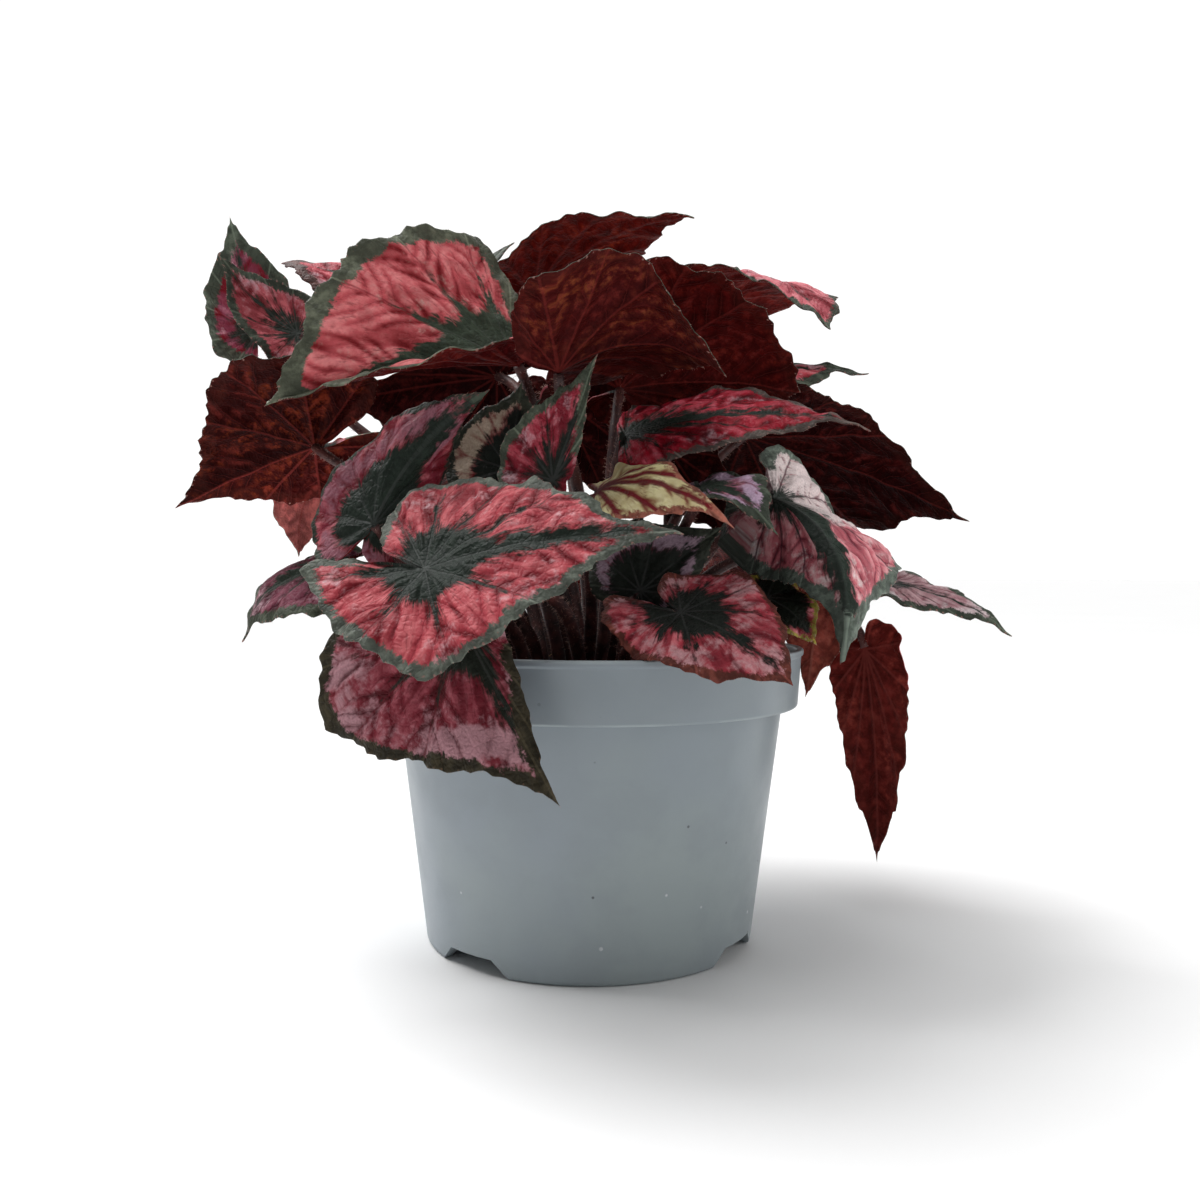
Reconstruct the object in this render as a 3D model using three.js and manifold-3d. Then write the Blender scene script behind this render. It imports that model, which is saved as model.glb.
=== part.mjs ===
// A potted rex begonia: a moulded nursery pot, its soil, and one node for each leaf with its stalk.
// Millimetres, +Z up, -Y is the front. The pot's axis is the Z axis and its feet stand on Z = 0.
import * as THREE from 'three';
import { mergeVertices } from 'three/addons/utils/BufferGeometryUtils.js';
import Module from 'manifold-3d';

const wasm = await Module();
wasm.setup();

const DEGREE = Math.PI / 180;
const FRONT_AZIMUTH = -90;

// The pot: a 12 cm nursery pot with a deep collar.
const POT_HEIGHT = 82;
const RIM_RADIUS = 60;
const COLLAR_HEIGHT = 15.8;
const COLLAR_TAPER = 1.5;
const COLLAR_STEP = 4.3;
const FOOT_RADIUS = 46.1;
const WALL = 1.4;
const LIP = 1.0;
const FOOT_ROUNDING = 1.2;
const FOOT_RING_WIDTH = 3.4;
const FLOOR_HEIGHT = 5;
const FLOOR_COVE = 2;
const STEP_ROUNDING = 0.5;
const POT_SIDES = 48;

// The gaps under the wall and the holes in the raised floor.
const GAP_ANGLES = [-41, 60, 190];
const GAP_HEIGHT = 4.5;
const GAP_FOOT_WIDTH = 25;
const GAP_TOP_WIDTH = 15;
const DRAIN_COUNT = 6;
const DRAIN_RADIUS = 4;
const DRAIN_CIRCLE = 26;
const DRAIN_SIDES = 16;

// The soil, clear of the pot all round, with a plain hole for each stalk.
const CLEARANCE = 0.3;
const SOIL_DEPTH_BELOW_RIM = 7;
const SOIL_SIDES = 30;
const SOIL_RINGS = [1, 0.75, 0.45, 0];
const SOIL_UNEVENNESS = 1.2;
const HOLE_SIDES = 7;

// Every leaf blade and stalk.
const BLADE_THICKNESS = 0.9;
const TEETH_PER_SIDE = 7;
const TOOTH_DEPTH = 0.035;
const INNER_RING = 0.36;
const MIDDLE_RING = 0.7;
const WAVE_HEIGHT = 1.2;
const WAVE_COUNT = 5;
const WAVE_PHASE_STEP = 2.4;
const STALK_SIDES = 5;
const STALK_STEPS = 6;
const STALK_FOOT_RADIUS = 1.8;
const STALK_TOP_RADIUS = 1.4;
const STALK_RISE = 0.4;
const STALK_REACH = 0.35;
const STALK_LEAN = 0.25;
const STALK_ROOT_DEPTH = 11;
const STALK_ROOT_RISE = 4;
const JOINT_FROM_BELOW = 0.8;
const JOINT_FROM_BEHIND = 0.6;
const JOINT_DEPTH = 0.2;

const FLOOR_TOP = FLOOR_HEIGHT + WALL;
const COLLAR_BOTTOM = POT_HEIGHT - COLLAR_HEIGHT;
const COLLAR_RADIUS = RIM_RADIUS - COLLAR_TAPER;
const BODY_TOP_RADIUS = COLLAR_RADIUS - COLLAR_STEP;
const INNER_FOOT_RADIUS = FOOT_RADIUS - WALL;
const SOIL_TOP = POT_HEIGHT - SOIL_DEPTH_BELOW_RIM;

// One half of a blade seen flat, from the tip round to the notch at the stalk. The first number is a
// share of the blade's length, or of its back lobe where it is negative, the second of its width.
const HALF_OUTLINE = [
  [1, 0], [0.93, 0.045], [0.84, 0.14], [0.72, 0.34], [0.58, 0.58], [0.4, 0.82], [0.2, 0.96], [0, 1],
  [-0.35, 0.94], [-0.7, 0.77], [-0.93, 0.52], [-1, 0.3], [-0.82, 0.13], [-0.4, 0.05], [-0.14, 0.012],
];

// The leaves, each placed by eye. Lengths are millimetres and angles degrees.
// joint: where the stalk meets the blade. tip: the blade's point. top: where the upper side faces.
// width and lobe: left and right of the midrib, looking from joint to tip with the upper side up.
// shoulder: how far the broad part of the blade moves towards the tip, as a share of its length.
// arch and sweep: how far the midrib bows upwards and to the right, as shares of its length.
// fold: how far each half hangs at the midrib. cup: how much further it hangs at its margin.
// skew: how far the back lobes lean to the right. lift: how far they rise.
// twist: how far the tip is turned. root: azimuth from the front and distance from the pot's axis.
// handles: two points that draw the stalk's curve, where it has to pass beside other leaves.
const LEAVES = [
  { name: 'leaf_upper_left', joint: [-19, -29, 156], tip: [-78, -50, 142], top: [0, -16, 9],
    width: [15, 43], lobe: [1, 8], shoulder: 0.1, arch: 0.08, fold: [-76, 0], cup: [10, -10], twist: -30,
    root: [-40, 10] },
  { name: 'leaf_top_centre', joint: [-8, -43, 152], tip: [32, -48, 150], top: [0, 7, 7],
    width: [20, 29], lobe: [4, 11], shoulder: 0.12, arch: 0.33, fold: [-35, 0], lift: 55, root: [-5, 5],
    handles: [[3, -18, 112], [-7, -38, 132]] },
  { name: 'leaf_top_back', joint: [-20, 55, 196], tip: [30, 10, 208], top: [-1, 3, 8],
    width: [22, 22], lobe: [14, 14], arch: 0.1, root: [-160, 7] },
  { name: 'leaf_top_right', joint: [8, 6, 156], tip: [59, 0, 154], top: [0, 7, 6],
    width: [12, 40], lobe: [10, 11], shoulder: 0.22, arch: 0.1, root: [95, 5],
    handles: [[4, -2, 110], [5, -8, 138]] },
  { name: 'leaf_back_pink_tip', joint: [15, 60, 186], tip: [74, 30, 179], top: [0, 6, 8],
    width: [34, 15], lobe: [12, 16], shoulder: 0.16, arch: 0.35, twist: 60, root: [160, 8] },
  { name: 'leaf_right_dark', joint: [47, 26, 145], tip: [112, 10, 119], top: [2, 6, 7],
    width: [39, 29], lobe: [14, 22], arch: 0.1, sweep: -0.06, root: [112, 12] },
  { name: 'leaf_right_back', joint: [40, 45, 158], tip: [90, 50, 167], top: [0, -4, 8],
    width: [12, 18], lobe: [10, 14], arch: 0.12, root: [135, 12],
    handles: [[10, 26, 120], [20, 50, 144]] },
  { name: 'leaf_right_pink', joint: [9, -22, 139], tip: [72, -34, 141], top: [0, -5, 8],
    width: [22, 17], lobe: [3, 1], arch: 0.07, cup: [10, 30], root: [38, 9] },
  { name: 'leaf_right_silver', joint: [48, -28, 122], tip: [61, -50, 81], top: [5, -6, 5],
    width: [42, 20], lobe: [22, 10], arch: 0.22, fold: [0, 70], cup: [30, 20], lift: 35, root: [58, 16] },
  { name: 'leaf_centre_olive', joint: [2, -37, 123], tip: [34, -58, 113], top: [1, -8, 5],
    width: [9, 14], lobe: [5, 5], arch: 0.2, cup: [10, 20], root: [12, 13],
    handles: [[6, -20, 100], [6, -22, 114]] },
  { name: 'leaf_centre_silver', joint: [28, -38, 124], tip: [45, -55, 112], top: [1, -6, 6],
    width: [13, 7], lobe: [6, 6], arch: 0.15, cup: [10, 20], root: [38, 14] },
  { name: 'leaf_centre_low', joint: [13, -34, 98], tip: [34, -31, 114], top: [0, -8, 2],
    width: [18, 10], lobe: [10, 6], arch: 0.1, root: [24, 20] },
  { name: 'leaf_front_left', joint: [-35, -79, 103], tip: [20, -88, 111], top: [0, -7, 7],
    width: [30, 27], lobe: [14, 29], shoulder: -0.08, skew: -0.5, arch: 0.06, cup: [10, 20],
    root: [-6, 24], handles: [[-6, -42, 104], [-14, -62, 97]] },
  { name: 'leaf_front_low', joint: [-29, -65, 91], tip: [-6, -75, 51], top: [-1, -8, 2],
    width: [8, 41], lobe: [5, 20], shoulder: -0.08, arch: 0.06, cup: [10, 30], root: [-34, 30] },
  { name: 'leaf_front_rim', joint: [22, -52, 93], tip: [46, -68, 77], top: [0, -6, 6],
    width: [20, 16], lobe: [12, 20], shoulder: 0.1, arch: 0.1, cup: [10, 20], root: [18, 28],
    handles: [[10, -34, 88], [17, -44, 86]] },
  { name: 'leaf_far_left_back', joint: [-100, 15, 174], tip: [-105, 5, 205], top: [1, -8, 3],
    width: [14, 14], lobe: [10, 10], arch: 0.05, root: [-112, 17] },
  { name: 'leaf_far_left', joint: [-84, 0, 170], tip: [-103, -12, 189], top: [2, -7, 4],
    width: [14, 12], lobe: [8, 8], arch: -0.1, cup: [-30, -30], root: [-93, 13],
    handles: [[-20, 22, 120], [-62, 26, 150]] },
  { name: 'leaf_left_back', joint: [-60, 35, 183], tip: [-100, 40, 201], top: [1, -5, 8],
    width: [18, 18], lobe: [12, 12], shoulder: 0.15, arch: 0.1, root: [-135, 13] },
  { name: 'leaf_back_centre', joint: [-48, 20, 176], tip: [-24, 22, 203], top: [0, -6, 6],
    width: [14, 12], lobe: [8, 8], arch: 0.1, root: [-112, 7],
    handles: [[-14, 20, 120], [-44, 34, 150]] },
  { name: 'leaf_left_dark', joint: [-79, 0, 138], tip: [-122, 8, 120], top: [-1, 7, 6],
    width: [35, 18], lobe: [26, 20], shoulder: -0.1, arch: 0.05, cup: [20, 10], root: [-84, 20] },
  { name: 'leaf_left_lobe', joint: [-85, 27, 135], tip: [-88, 13, 106], top: [-5, 7, 3],
    width: [15, 14], lobe: [12, 12], arch: 0.1, root: [-100, 22] },
  { name: 'leaf_left_small', joint: [-67, -20, 104], tip: [-94, -16, 83], top: [-2, -5, 8],
    width: [20, 15], lobe: [8, 8], arch: 0.2, cup: [20, 20], root: [-72, 26] },
  { name: 'leaf_left_inner', joint: [-52, -50, 114], tip: [-24, -52, 146], top: [-3, -8, 3],
    width: [19, 18], lobe: [14, 8], sweep: -0.1, fold: [0, 85], cup: [10, 5], root: [-50, 18] },
  { name: 'leaf_centre_dark', joint: [-21, -31, 129], tip: [-18, -30, 152], top: [0, -8, 3],
    width: [17, 13], lobe: [12, 12], root: [-32, 15] },
  { name: 'leaf_centre_point', joint: [-9, -47, 125], tip: [2, -50, 155], top: [-2, -8, 2],
    width: [16, 4], lobe: [10, 6], root: [-8, 18], handles: [[-8, -26, 100], [-12, -34, 114]] },
  { name: 'leaf_right_hanging', joint: [83, 18, 80], tip: [86, 12, 17], top: [5, 7, 0],
    width: [12, 12], lobe: [9, 9], shoulder: 0.12, arch: 0.05, root: [108, 30],
    handles: [[44, 20, 98], [80, 24, 100]] },
  { name: 'leaf_right_under', joint: [67, 8, 104], tip: [64, 11, 66], top: [4, 7, 2],
    width: [15, 15], lobe: [8, 8], arch: 0.05, root: [84, 26] },
  { name: 'leaf_right_low', joint: [91, 28, 100], tip: [123, 8, 84], top: [1, -4, 8],
    width: [12, 12], lobe: [8, 8], arch: 0.08, root: [100, 20], handles: [[30, 6, 118], [70, 20, 112]] },
  { name: 'leaf_right_inner', joint: [48, -15, 96], tip: [62, -20, 84], top: [1, -6, 6],
    width: [12, 12], lobe: [8, 8], arch: 0.1, root: [66, 24] },
  { name: 'leaf_back_left', joint: [-40, 60, 130], tip: [-78, 92, 104], top: [-3, 5, 8],
    width: [28, 28], lobe: [18, 18], arch: 0.12, cup: [20, 20], root: [-145, 20] },
  { name: 'leaf_back_low', joint: [4, 68, 108], tip: [10, 98, 72], top: [0, 8, 6],
    width: [26, 26], lobe: [16, 16], arch: 0.15, cup: [20, 20], root: [178, 26] },
  { name: 'leaf_back_right', joint: [42, 65, 112], tip: [76, 95, 88], top: [3, 5, 8],
    width: [26, 26], lobe: [16, 16], arch: 0.12, cup: [20, 20], root: [142, 22] },
  { name: 'leaf_back_high', joint: [-7, 62, 160], tip: [6, 98, 146], top: [0, 3, 8],
    width: [23, 14], lobe: [18, 18], arch: 0.12, cup: [20, 20], root: [-178, 15] },
  { name: 'leaf_inner_dark', joint: [-10, 22, 156], tip: [5, 21, 124], top: [0, 8, 3],
    width: [18, 18], lobe: [10, 10], arch: 0.05, root: [-150, 16] },
  { name: 'leaf_inner_right', joint: [22, 8, 139], tip: [41, 9, 112], top: [0, 8, 3],
    width: [13, 13], lobe: [8, 8], arch: 0.05, root: [126, 28],
    handles: [[22, 20, 100], [24, 17, 122]] },
  { name: 'leaf_left_shaded', joint: [-28, 10, 160], tip: [-76, 2, 150], top: [0, 7, 3],
    width: [9, 25], lobe: [12, 8], arch: 0.08, cup: [20, 20], root: [-72, 8] },
];
const LEAF_DEFAULTS = {
  shoulder: 0, skew: 0, arch: 0, sweep: 0, fold: [0, 0], cup: [10, 10], lift: 10, twist: 0,
};

// ---------------------------------------------------------------- solids

function solidOf(geometry) {
  const plain = geometry.clone();
  plain.deleteAttribute('normal');
  plain.deleteAttribute('uv');
  const merged = mergeVertices(plain, 1e-4);
  const mesh = new wasm.Mesh({
    numProp: 3,
    vertProperties: new Float32Array(merged.attributes.position.array),
    triVerts: new Uint32Array(merged.index.array),
  });
  mesh.merge();
  return new wasm.Manifold(mesh);
}

function geometryOf(solid) {
  const mesh = solid.getMesh();
  const geometry = new THREE.BufferGeometry();
  geometry.setAttribute('position', new THREE.BufferAttribute(new Float32Array(mesh.vertProperties), 3));
  geometry.setIndex(new THREE.BufferAttribute(new Uint32Array(mesh.triVerts), 1));
  geometry.computeVertexNormals();
  return geometry;
}

// A turned solid from radius and height pairs that start and end on the Z axis.
function turned(profile, sides) {
  const points = profile.map(([radius, height]) => new THREE.Vector2(radius, height));
  const geometry = new THREE.LatheGeometry(points, sides);
  geometry.rotateX(Math.PI / 2);
  return geometry;
}

// A tapered tube through a row of points, with flat ends.
function tube(points, firstRadius, lastRadius, sides) {
  const last = points.length - 1;
  const across = new THREE.Vector3(1, 0, 0);
  const positions = [];
  points.forEach((point, i) => {
    const tangent = points[Math.min(i + 1, last)].clone().sub(points[Math.max(i - 1, 0)]).normalize();
    across.addScaledVector(tangent, -across.dot(tangent)).normalize();
    const other = new THREE.Vector3().crossVectors(tangent, across);
    const radius = THREE.MathUtils.lerp(firstRadius, lastRadius, i / last);
    for (let k = 0; k < sides; k += 1) {
      const angle = (2 * Math.PI * k) / sides;
      const corner = point.clone()
        .addScaledVector(across, radius * Math.cos(angle))
        .addScaledVector(other, radius * Math.sin(angle));
      positions.push(corner.x, corner.y, corner.z);
    }
  });
  const faces = [];
  for (let k = 0; k < sides; k += 1) {
    const next = (k + 1) % sides;
    for (let i = 0; i < last; i += 1) {
      const near = i * sides;
      const far = near + sides;
      faces.push(near + k, near + next, far + k, far + k, near + next, far + next);
    }
    if (k > 0 && next > 0) {
      faces.push(0, next, k, last * sides, last * sides + k, last * sides + next);
    }
  }
  const geometry = new THREE.BufferGeometry();
  geometry.setAttribute('position', new THREE.Float32BufferAttribute(positions, 3));
  geometry.setIndex(faces);
  return geometry;
}

// A direction in the floor plane, by its angle from the front towards the right.
function outward(angle) {
  const azimuth = (FRONT_AZIMUTH + angle) * DEGREE;
  return new THREE.Vector3(Math.cos(azimuth), Math.sin(azimuth), 0);
}

// ---------------------------------------------------------------- pot

function potProfile() {
  return [
    [0, FLOOR_HEIGHT],
    [FOOT_RADIUS - FOOT_RING_WIDTH, FLOOR_HEIGHT],
    [FOOT_RADIUS - FOOT_RING_WIDTH, 0],
    [FOOT_RADIUS - FOOT_ROUNDING, 0],
    [FOOT_RADIUS - FOOT_ROUNDING * 0.3, FOOT_ROUNDING * 0.4],
    [FOOT_RADIUS, FOOT_ROUNDING * 1.5],
    [BODY_TOP_RADIUS, COLLAR_BOTTOM],
    [COLLAR_RADIUS - STEP_ROUNDING, COLLAR_BOTTOM],
    [COLLAR_RADIUS, COLLAR_BOTTOM + STEP_ROUNDING],
    [RIM_RADIUS - LIP * 0.6, POT_HEIGHT - LIP * 2],
    [RIM_RADIUS, POT_HEIGHT - LIP * 1.6],
    [RIM_RADIUS, POT_HEIGHT - LIP * 0.5],
    [RIM_RADIUS - LIP * 0.5, POT_HEIGHT],
    [RIM_RADIUS - LIP * 1.5, POT_HEIGHT],
    [RIM_RADIUS - LIP * 2, POT_HEIGHT - LIP * 0.5],
    [COLLAR_RADIUS - WALL, COLLAR_BOTTOM + WALL],
    [BODY_TOP_RADIUS - WALL, COLLAR_BOTTOM - WALL],
    [INNER_FOOT_RADIUS, FLOOR_TOP + FLOOR_COVE],
    [INNER_FOOT_RADIUS - FLOOR_COVE, FLOOR_TOP],
    [0, FLOOR_TOP],
  ];
}

// A gap under the wall: a trapezium with its wide side down, cut through the foot ring.
function waterGap(angle) {
  const below = 1;
  const shape = new THREE.Shape([
    new THREE.Vector2(-GAP_FOOT_WIDTH / 2 - below, -below),
    new THREE.Vector2(GAP_FOOT_WIDTH / 2 + below, -below),
    new THREE.Vector2(GAP_TOP_WIDTH / 2, GAP_HEIGHT),
    new THREE.Vector2(-GAP_TOP_WIDTH / 2, GAP_HEIGHT),
  ]);
  const reach = 20;
  const cutter = new THREE.ExtrudeGeometry(shape, { depth: reach, bevelEnabled: false });
  cutter.translate(0, 0, FOOT_RADIUS - reach / 2);
  cutter.rotateX(Math.PI / 2);
  cutter.rotateZ(angle * DEGREE);
  return cutter;
}

function drainHole(angle) {
  const centre = outward(angle).multiplyScalar(DRAIN_CIRCLE);
  const hole = new THREE.CylinderGeometry(DRAIN_RADIUS, DRAIN_RADIUS, FLOOR_TOP * 2, DRAIN_SIDES);
  hole.rotateX(Math.PI / 2);
  hole.translate(centre.x, centre.y, FLOOR_TOP);
  return hole;
}

function buildPot() {
  let pot = solidOf(turned(potProfile(), POT_SIDES));
  for (const angle of GAP_ANGLES) {
    pot = pot.subtract(solidOf(waterGap(angle)));
  }
  for (let i = 0; i < DRAIN_COUNT; i += 1) {
    pot = pot.subtract(solidOf(drainHole((i * 360) / DRAIN_COUNT)));
  }
  return geometryOf(pot);
}

// ---------------------------------------------------------------- soil

function soilSurface(x, y) {
  const lumps = Math.sin(0.31 * x + 1.3) * Math.cos(0.27 * y - 0.6) + 0.5 * Math.sin(0.53 * x - 0.47 * y);
  return SOIL_TOP + SOIL_UNEVENNESS * lumps;
}

function buildSoil(leaves) {
  const shelfRadius = BODY_TOP_RADIUS - WALL - CLEARANCE;
  const topRadius = COLLAR_RADIUS - WALL - CLEARANCE;
  const footRadius = INNER_FOOT_RADIUS - CLEARANCE;
  const profile = [
    [0, FLOOR_TOP + CLEARANCE],
    [footRadius - FLOOR_COVE, FLOOR_TOP + CLEARANCE],
    [footRadius, FLOOR_TOP + FLOOR_COVE + CLEARANCE],
    [shelfRadius, COLLAR_BOTTOM - WALL],
    [topRadius, COLLAR_BOTTOM + WALL + CLEARANCE],
    ...SOIL_RINGS.map((share) => [share * topRadius, SOIL_TOP]),
  ];
  const geometry = turned(profile, SOIL_SIDES);
  const position = geometry.attributes.position;
  for (let i = 0; i < position.count; i += 1) {
    if (position.getZ(i) > SOIL_TOP - CLEARANCE) {
      position.setZ(i, soilSurface(position.getX(i), position.getY(i)));
    }
  }
  let soil = solidOf(geometry);
  for (const leaf of leaves) {
    const { bottom, top } = stalkRoot(leaf);
    const direction = top.clone().sub(bottom).normalize();
    const line = [
      bottom.clone().addScaledVector(direction, -2 * CLEARANCE),
      top,
    ];
    const radius = STALK_FOOT_RADIUS + 1.6 * CLEARANCE;
    soil = soil.subtract(solidOf(tube(line, radius, radius, HOLE_SIDES)));
  }
  return geometryOf(soil);
}

// ---------------------------------------------------------------- leaves

// The straight foot of a stalk, which stands in its hole in the soil.
function stalkRoot(leaf) {
  const [angle, radius] = leaf.root;
  const foot = outward(angle).multiplyScalar(radius);
  const lean = outward(angle).multiplyScalar(STALK_LEAN);
  return {
    bottom: foot.clone().addScaledVector(lean, -STALK_ROOT_DEPTH).setZ(SOIL_TOP - STALK_ROOT_DEPTH),
    top: foot.clone().addScaledVector(lean, STALK_ROOT_RISE).setZ(SOIL_TOP + STALK_ROOT_RISE),
  };
}

// The leaf's own axes: along the midrib's chord, out of the upper side, and to the right.
function leafAxes(leaf) {
  const joint = new THREE.Vector3(...leaf.joint);
  const chord = new THREE.Vector3(...leaf.tip).sub(joint);
  const length = chord.length();
  const along = chord.normalize();
  const up = new THREE.Vector3(...leaf.top);
  up.addScaledVector(along, -up.dot(along)).normalize();
  const right = new THREE.Vector3().crossVectors(along, up);
  return { joint, length, along, up, right };
}

// A place on the midrib and the axes there, at a share of the blade's length; behind the joint the
// midrib runs on as a straight line that rises with the lobes.
function midrib(leaf, axes, share) {
  const { joint, length, along, up, right } = axes;
  const ahead = Math.max(share, 0);
  const bow = 4 * ahead * (1 - ahead);
  const slope = 4 * (1 - 2 * ahead);
  const place = joint.clone().addScaledVector(along, ahead * length)
    .addScaledVector(up, leaf.arch * length * bow)
    .addScaledVector(right, leaf.sweep * length * bow);
  const tangent = along.clone().addScaledVector(up, leaf.arch * slope)
    .addScaledVector(right, leaf.sweep * slope).normalize();
  const normal = up.clone().addScaledVector(tangent, -up.dot(tangent)).normalize();
  if (share < 0) {
    const liftAxis = new THREE.Vector3().crossVectors(tangent, normal);
    tangent.applyAxisAngle(liftAxis, -leaf.lift * DEGREE);
    normal.applyAxisAngle(liftAxis, -leaf.lift * DEGREE);
    place.addScaledVector(tangent, share * length);
  }
  normal.applyAxisAngle(tangent, leaf.twist * ahead * DEGREE);
  const side = new THREE.Vector3().crossVectors(tangent, normal);
  return { place, normal, side };
}

// A point of the blade: out along the midrib, then sideways along an arc that hangs or rises.
function bladePoint(leaf, axes, flat, ring, offset) {
  const half = flat.y < 0 ? 0 : 1;
  const sign = half === 0 ? -1 : 1;
  const { place, normal, side } = midrib(leaf, axes, flat.x / axes.length);
  const distance = Math.abs(flat.y);
  const fold = leaf.fold[half] * DEGREE;
  const bend = (leaf.cup[half] || 0.1) * DEGREE / leaf.width[half];
  const angle = fold + bend * distance;
  const out = (Math.sin(angle) - Math.sin(fold)) / bend;
  const drop = (Math.cos(fold) - Math.cos(angle)) / bend;
  const facing = normal.clone().multiplyScalar(Math.cos(angle))
    .addScaledVector(side, sign * Math.sin(angle));
  const turn = Math.atan2(flat.y, flat.x);
  const ripple = WAVE_HEIGHT * ring * ring * Math.sin(WAVE_COUNT * turn + leaf.phase);
  return place.addScaledVector(side, sign * out)
    .addScaledVector(normal, -drop)
    .addScaledVector(facing, ripple + offset);
}

// The toothed outline of one half, from the tip to the notch, flat and with the joint at the origin.
function halfOutline(leaf, axes, half) {
  const sign = half === 0 ? -1 : 1;
  const curve = new THREE.SplineCurve(HALF_OUTLINE.map(([forward, sideways]) => {
    const moved = forward + 4 * leaf.shoulder * forward * (1 - forward);
    return new THREE.Vector2(
      forward > 0 ? moved * axes.length : forward * leaf.lobe[half],
      sign * sideways * leaf.width[half],
    );
  }));
  const points = curve.getSpacedPoints(2 * TEETH_PER_SIDE);
  return points.map((point, i) => {
    const tooth = i % 2 === 1 ? 1 + TOOTH_DEPTH : 1 - TOOTH_DEPTH;
    const plain = i === 0 || i === 2 * TEETH_PER_SIDE;
    point.multiplyScalar(plain ? 1 : tooth);
    point.y -= leaf.skew * Math.min(point.x, 0);
    return point;
  });
}

// The blade: rings of points round the joint, the outermost toothed, alike on both faces. Each ring
// has twice the points of the one inside it, less one.
function bladeGeometry(leaf) {
  const axes = leafAxes(leaf);
  const margin = [
    ...halfOutline(leaf, axes, 1),
    ...halfOutline(leaf, axes, 0).slice(1).reverse(),
  ];
  const everySecond = (points) => points.filter((_, i) => i % 2 === 0);
  const middle = everySecond(margin);
  const inner = everySecond(middle);
  const rings = [
    { share: 0, outline: [margin[0]] },
    { share: INNER_RING, outline: inner },
    { share: MIDDLE_RING, outline: middle },
    { share: 1, outline: margin },
  ];

  const positions = [];
  for (const offset of [BLADE_THICKNESS / 2, -BLADE_THICKNESS / 2]) {
    for (const { share, outline } of rings) {
      for (const flat of outline) {
        const point = bladePoint(leaf, axes, flat.clone().multiplyScalar(share), share, offset);
        positions.push(point.x, point.y, point.z);
      }
    }
  }
  const layer = positions.length / 6;
  const faces = [];
  const triangle = (a, b, c) => faces.push(a, b, c, layer + a, layer + c, layer + b);
  for (let i = 0; i < inner.length; i += 1) {
    triangle(0, 1 + ((i + 1) % inner.length), 1 + i);
  }
  const stitch = (innerStart, innerCount, outerCount) => {
    const near = (i) => innerStart + (i % innerCount);
    const far = (i) => innerStart + innerCount + (i % outerCount);
    for (let i = 0; i < innerCount; i += 1) {
      triangle(near(i), far(2 * i + 1), far(2 * i));
      triangle(near(i), near(i + 1), far(2 * i + 1));
      if (2 * i + 1 < outerCount) {
        triangle(near(i + 1), far(2 * i + 2), far(2 * i + 1));
      }
    }
  };
  stitch(1, inner.length, middle.length);
  stitch(1 + inner.length, middle.length, margin.length);
  const rim = layer - margin.length;
  for (let i = 0; i < margin.length; i += 1) {
    const a = rim + i;
    const b = rim + ((i + 1) % margin.length);
    faces.push(a, b, layer + a, layer + a, b, layer + b);
  }
  const geometry = new THREE.BufferGeometry();
  geometry.setAttribute('position', new THREE.Float32BufferAttribute(positions, 3));
  geometry.setIndex(faces);
  return geometry;
}

// The points of a stalk: straight out of the soil, then on a curve to the joint, which it reaches
// from behind and below unless its two handles are given.
function stalkPoints(leaf) {
  const axes = leafAxes(leaf);
  const { bottom, top } = stalkRoot(leaf);
  const { normal } = midrib(leaf, axes, 0);
  const [first, second] = (leaf.handles || []).map((handle) => new THREE.Vector3(...handle));
  const arrival = second
    ? axes.joint.clone().sub(second).normalize()
    : normal.clone().multiplyScalar(JOINT_FROM_BELOW).addScaledVector(axes.along, JOINT_FROM_BEHIND);
  const end = axes.joint.clone().addScaledVector(arrival, -JOINT_DEPTH);
  const span = end.distanceTo(top);
  const start = top.clone().sub(bottom).normalize();
  const curve = new THREE.CubicBezierCurve3(
    top,
    first || top.clone().addScaledVector(start, STALK_RISE * span),
    second || end.clone().addScaledVector(arrival, -STALK_REACH * span),
    end,
  );
  return [bottom, ...curve.getSpacedPoints(STALK_STEPS)];
}

// A blade fused with its stalk. Where the lobes meet round the stalk they can close a pocket, which
// is a shell of negative volume: it is left out, so that the leaf is solid there.
function buildLeaf(leaf) {
  const blade = solidOf(bladeGeometry(leaf));
  const stalk = solidOf(tube(stalkPoints(leaf), STALK_FOOT_RADIUS, STALK_TOP_RADIUS, STALK_SIDES));
  const shells = blade.add(stalk).decompose();
  return geometryOf(wasm.Manifold.union(shells.filter((shell) => shell.volume() > 0)));
}

// ---------------------------------------------------------------- assembly

const FINISHES = {
  pot: new THREE.MeshStandardMaterial({ color: 0x7c8890, roughness: 0.5, metalness: 0 }),
  soil: new THREE.MeshStandardMaterial({ color: 0x2a211b, roughness: 0.95, metalness: 0 }),
  leaf: new THREE.MeshStandardMaterial({ color: 0x7d3540, roughness: 0.6, metalness: 0 }),
};

const part = new THREE.Group();

function place(name, geometry, finish) {
  const mesh = new THREE.Mesh(geometry, FINISHES[finish]);
  mesh.name = name;
  part.add(mesh);
}

const leaves = LEAVES.map((leaf, i) => ({ ...LEAF_DEFAULTS, phase: WAVE_PHASE_STEP * i, ...leaf }));
place('pot', buildPot(), 'pot');
place('soil', buildSoil(leaves), 'soil');
for (const leaf of leaves) {
  place(leaf.name, buildLeaf(leaf), 'leaf');
}

export default part;
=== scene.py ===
"""Potted rex begonia: finer leaves, stalks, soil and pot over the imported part, in the photograph's view."""

import math

import bmesh
import bpy
import numpy as np
from mathutils import Matrix, Vector


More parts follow.
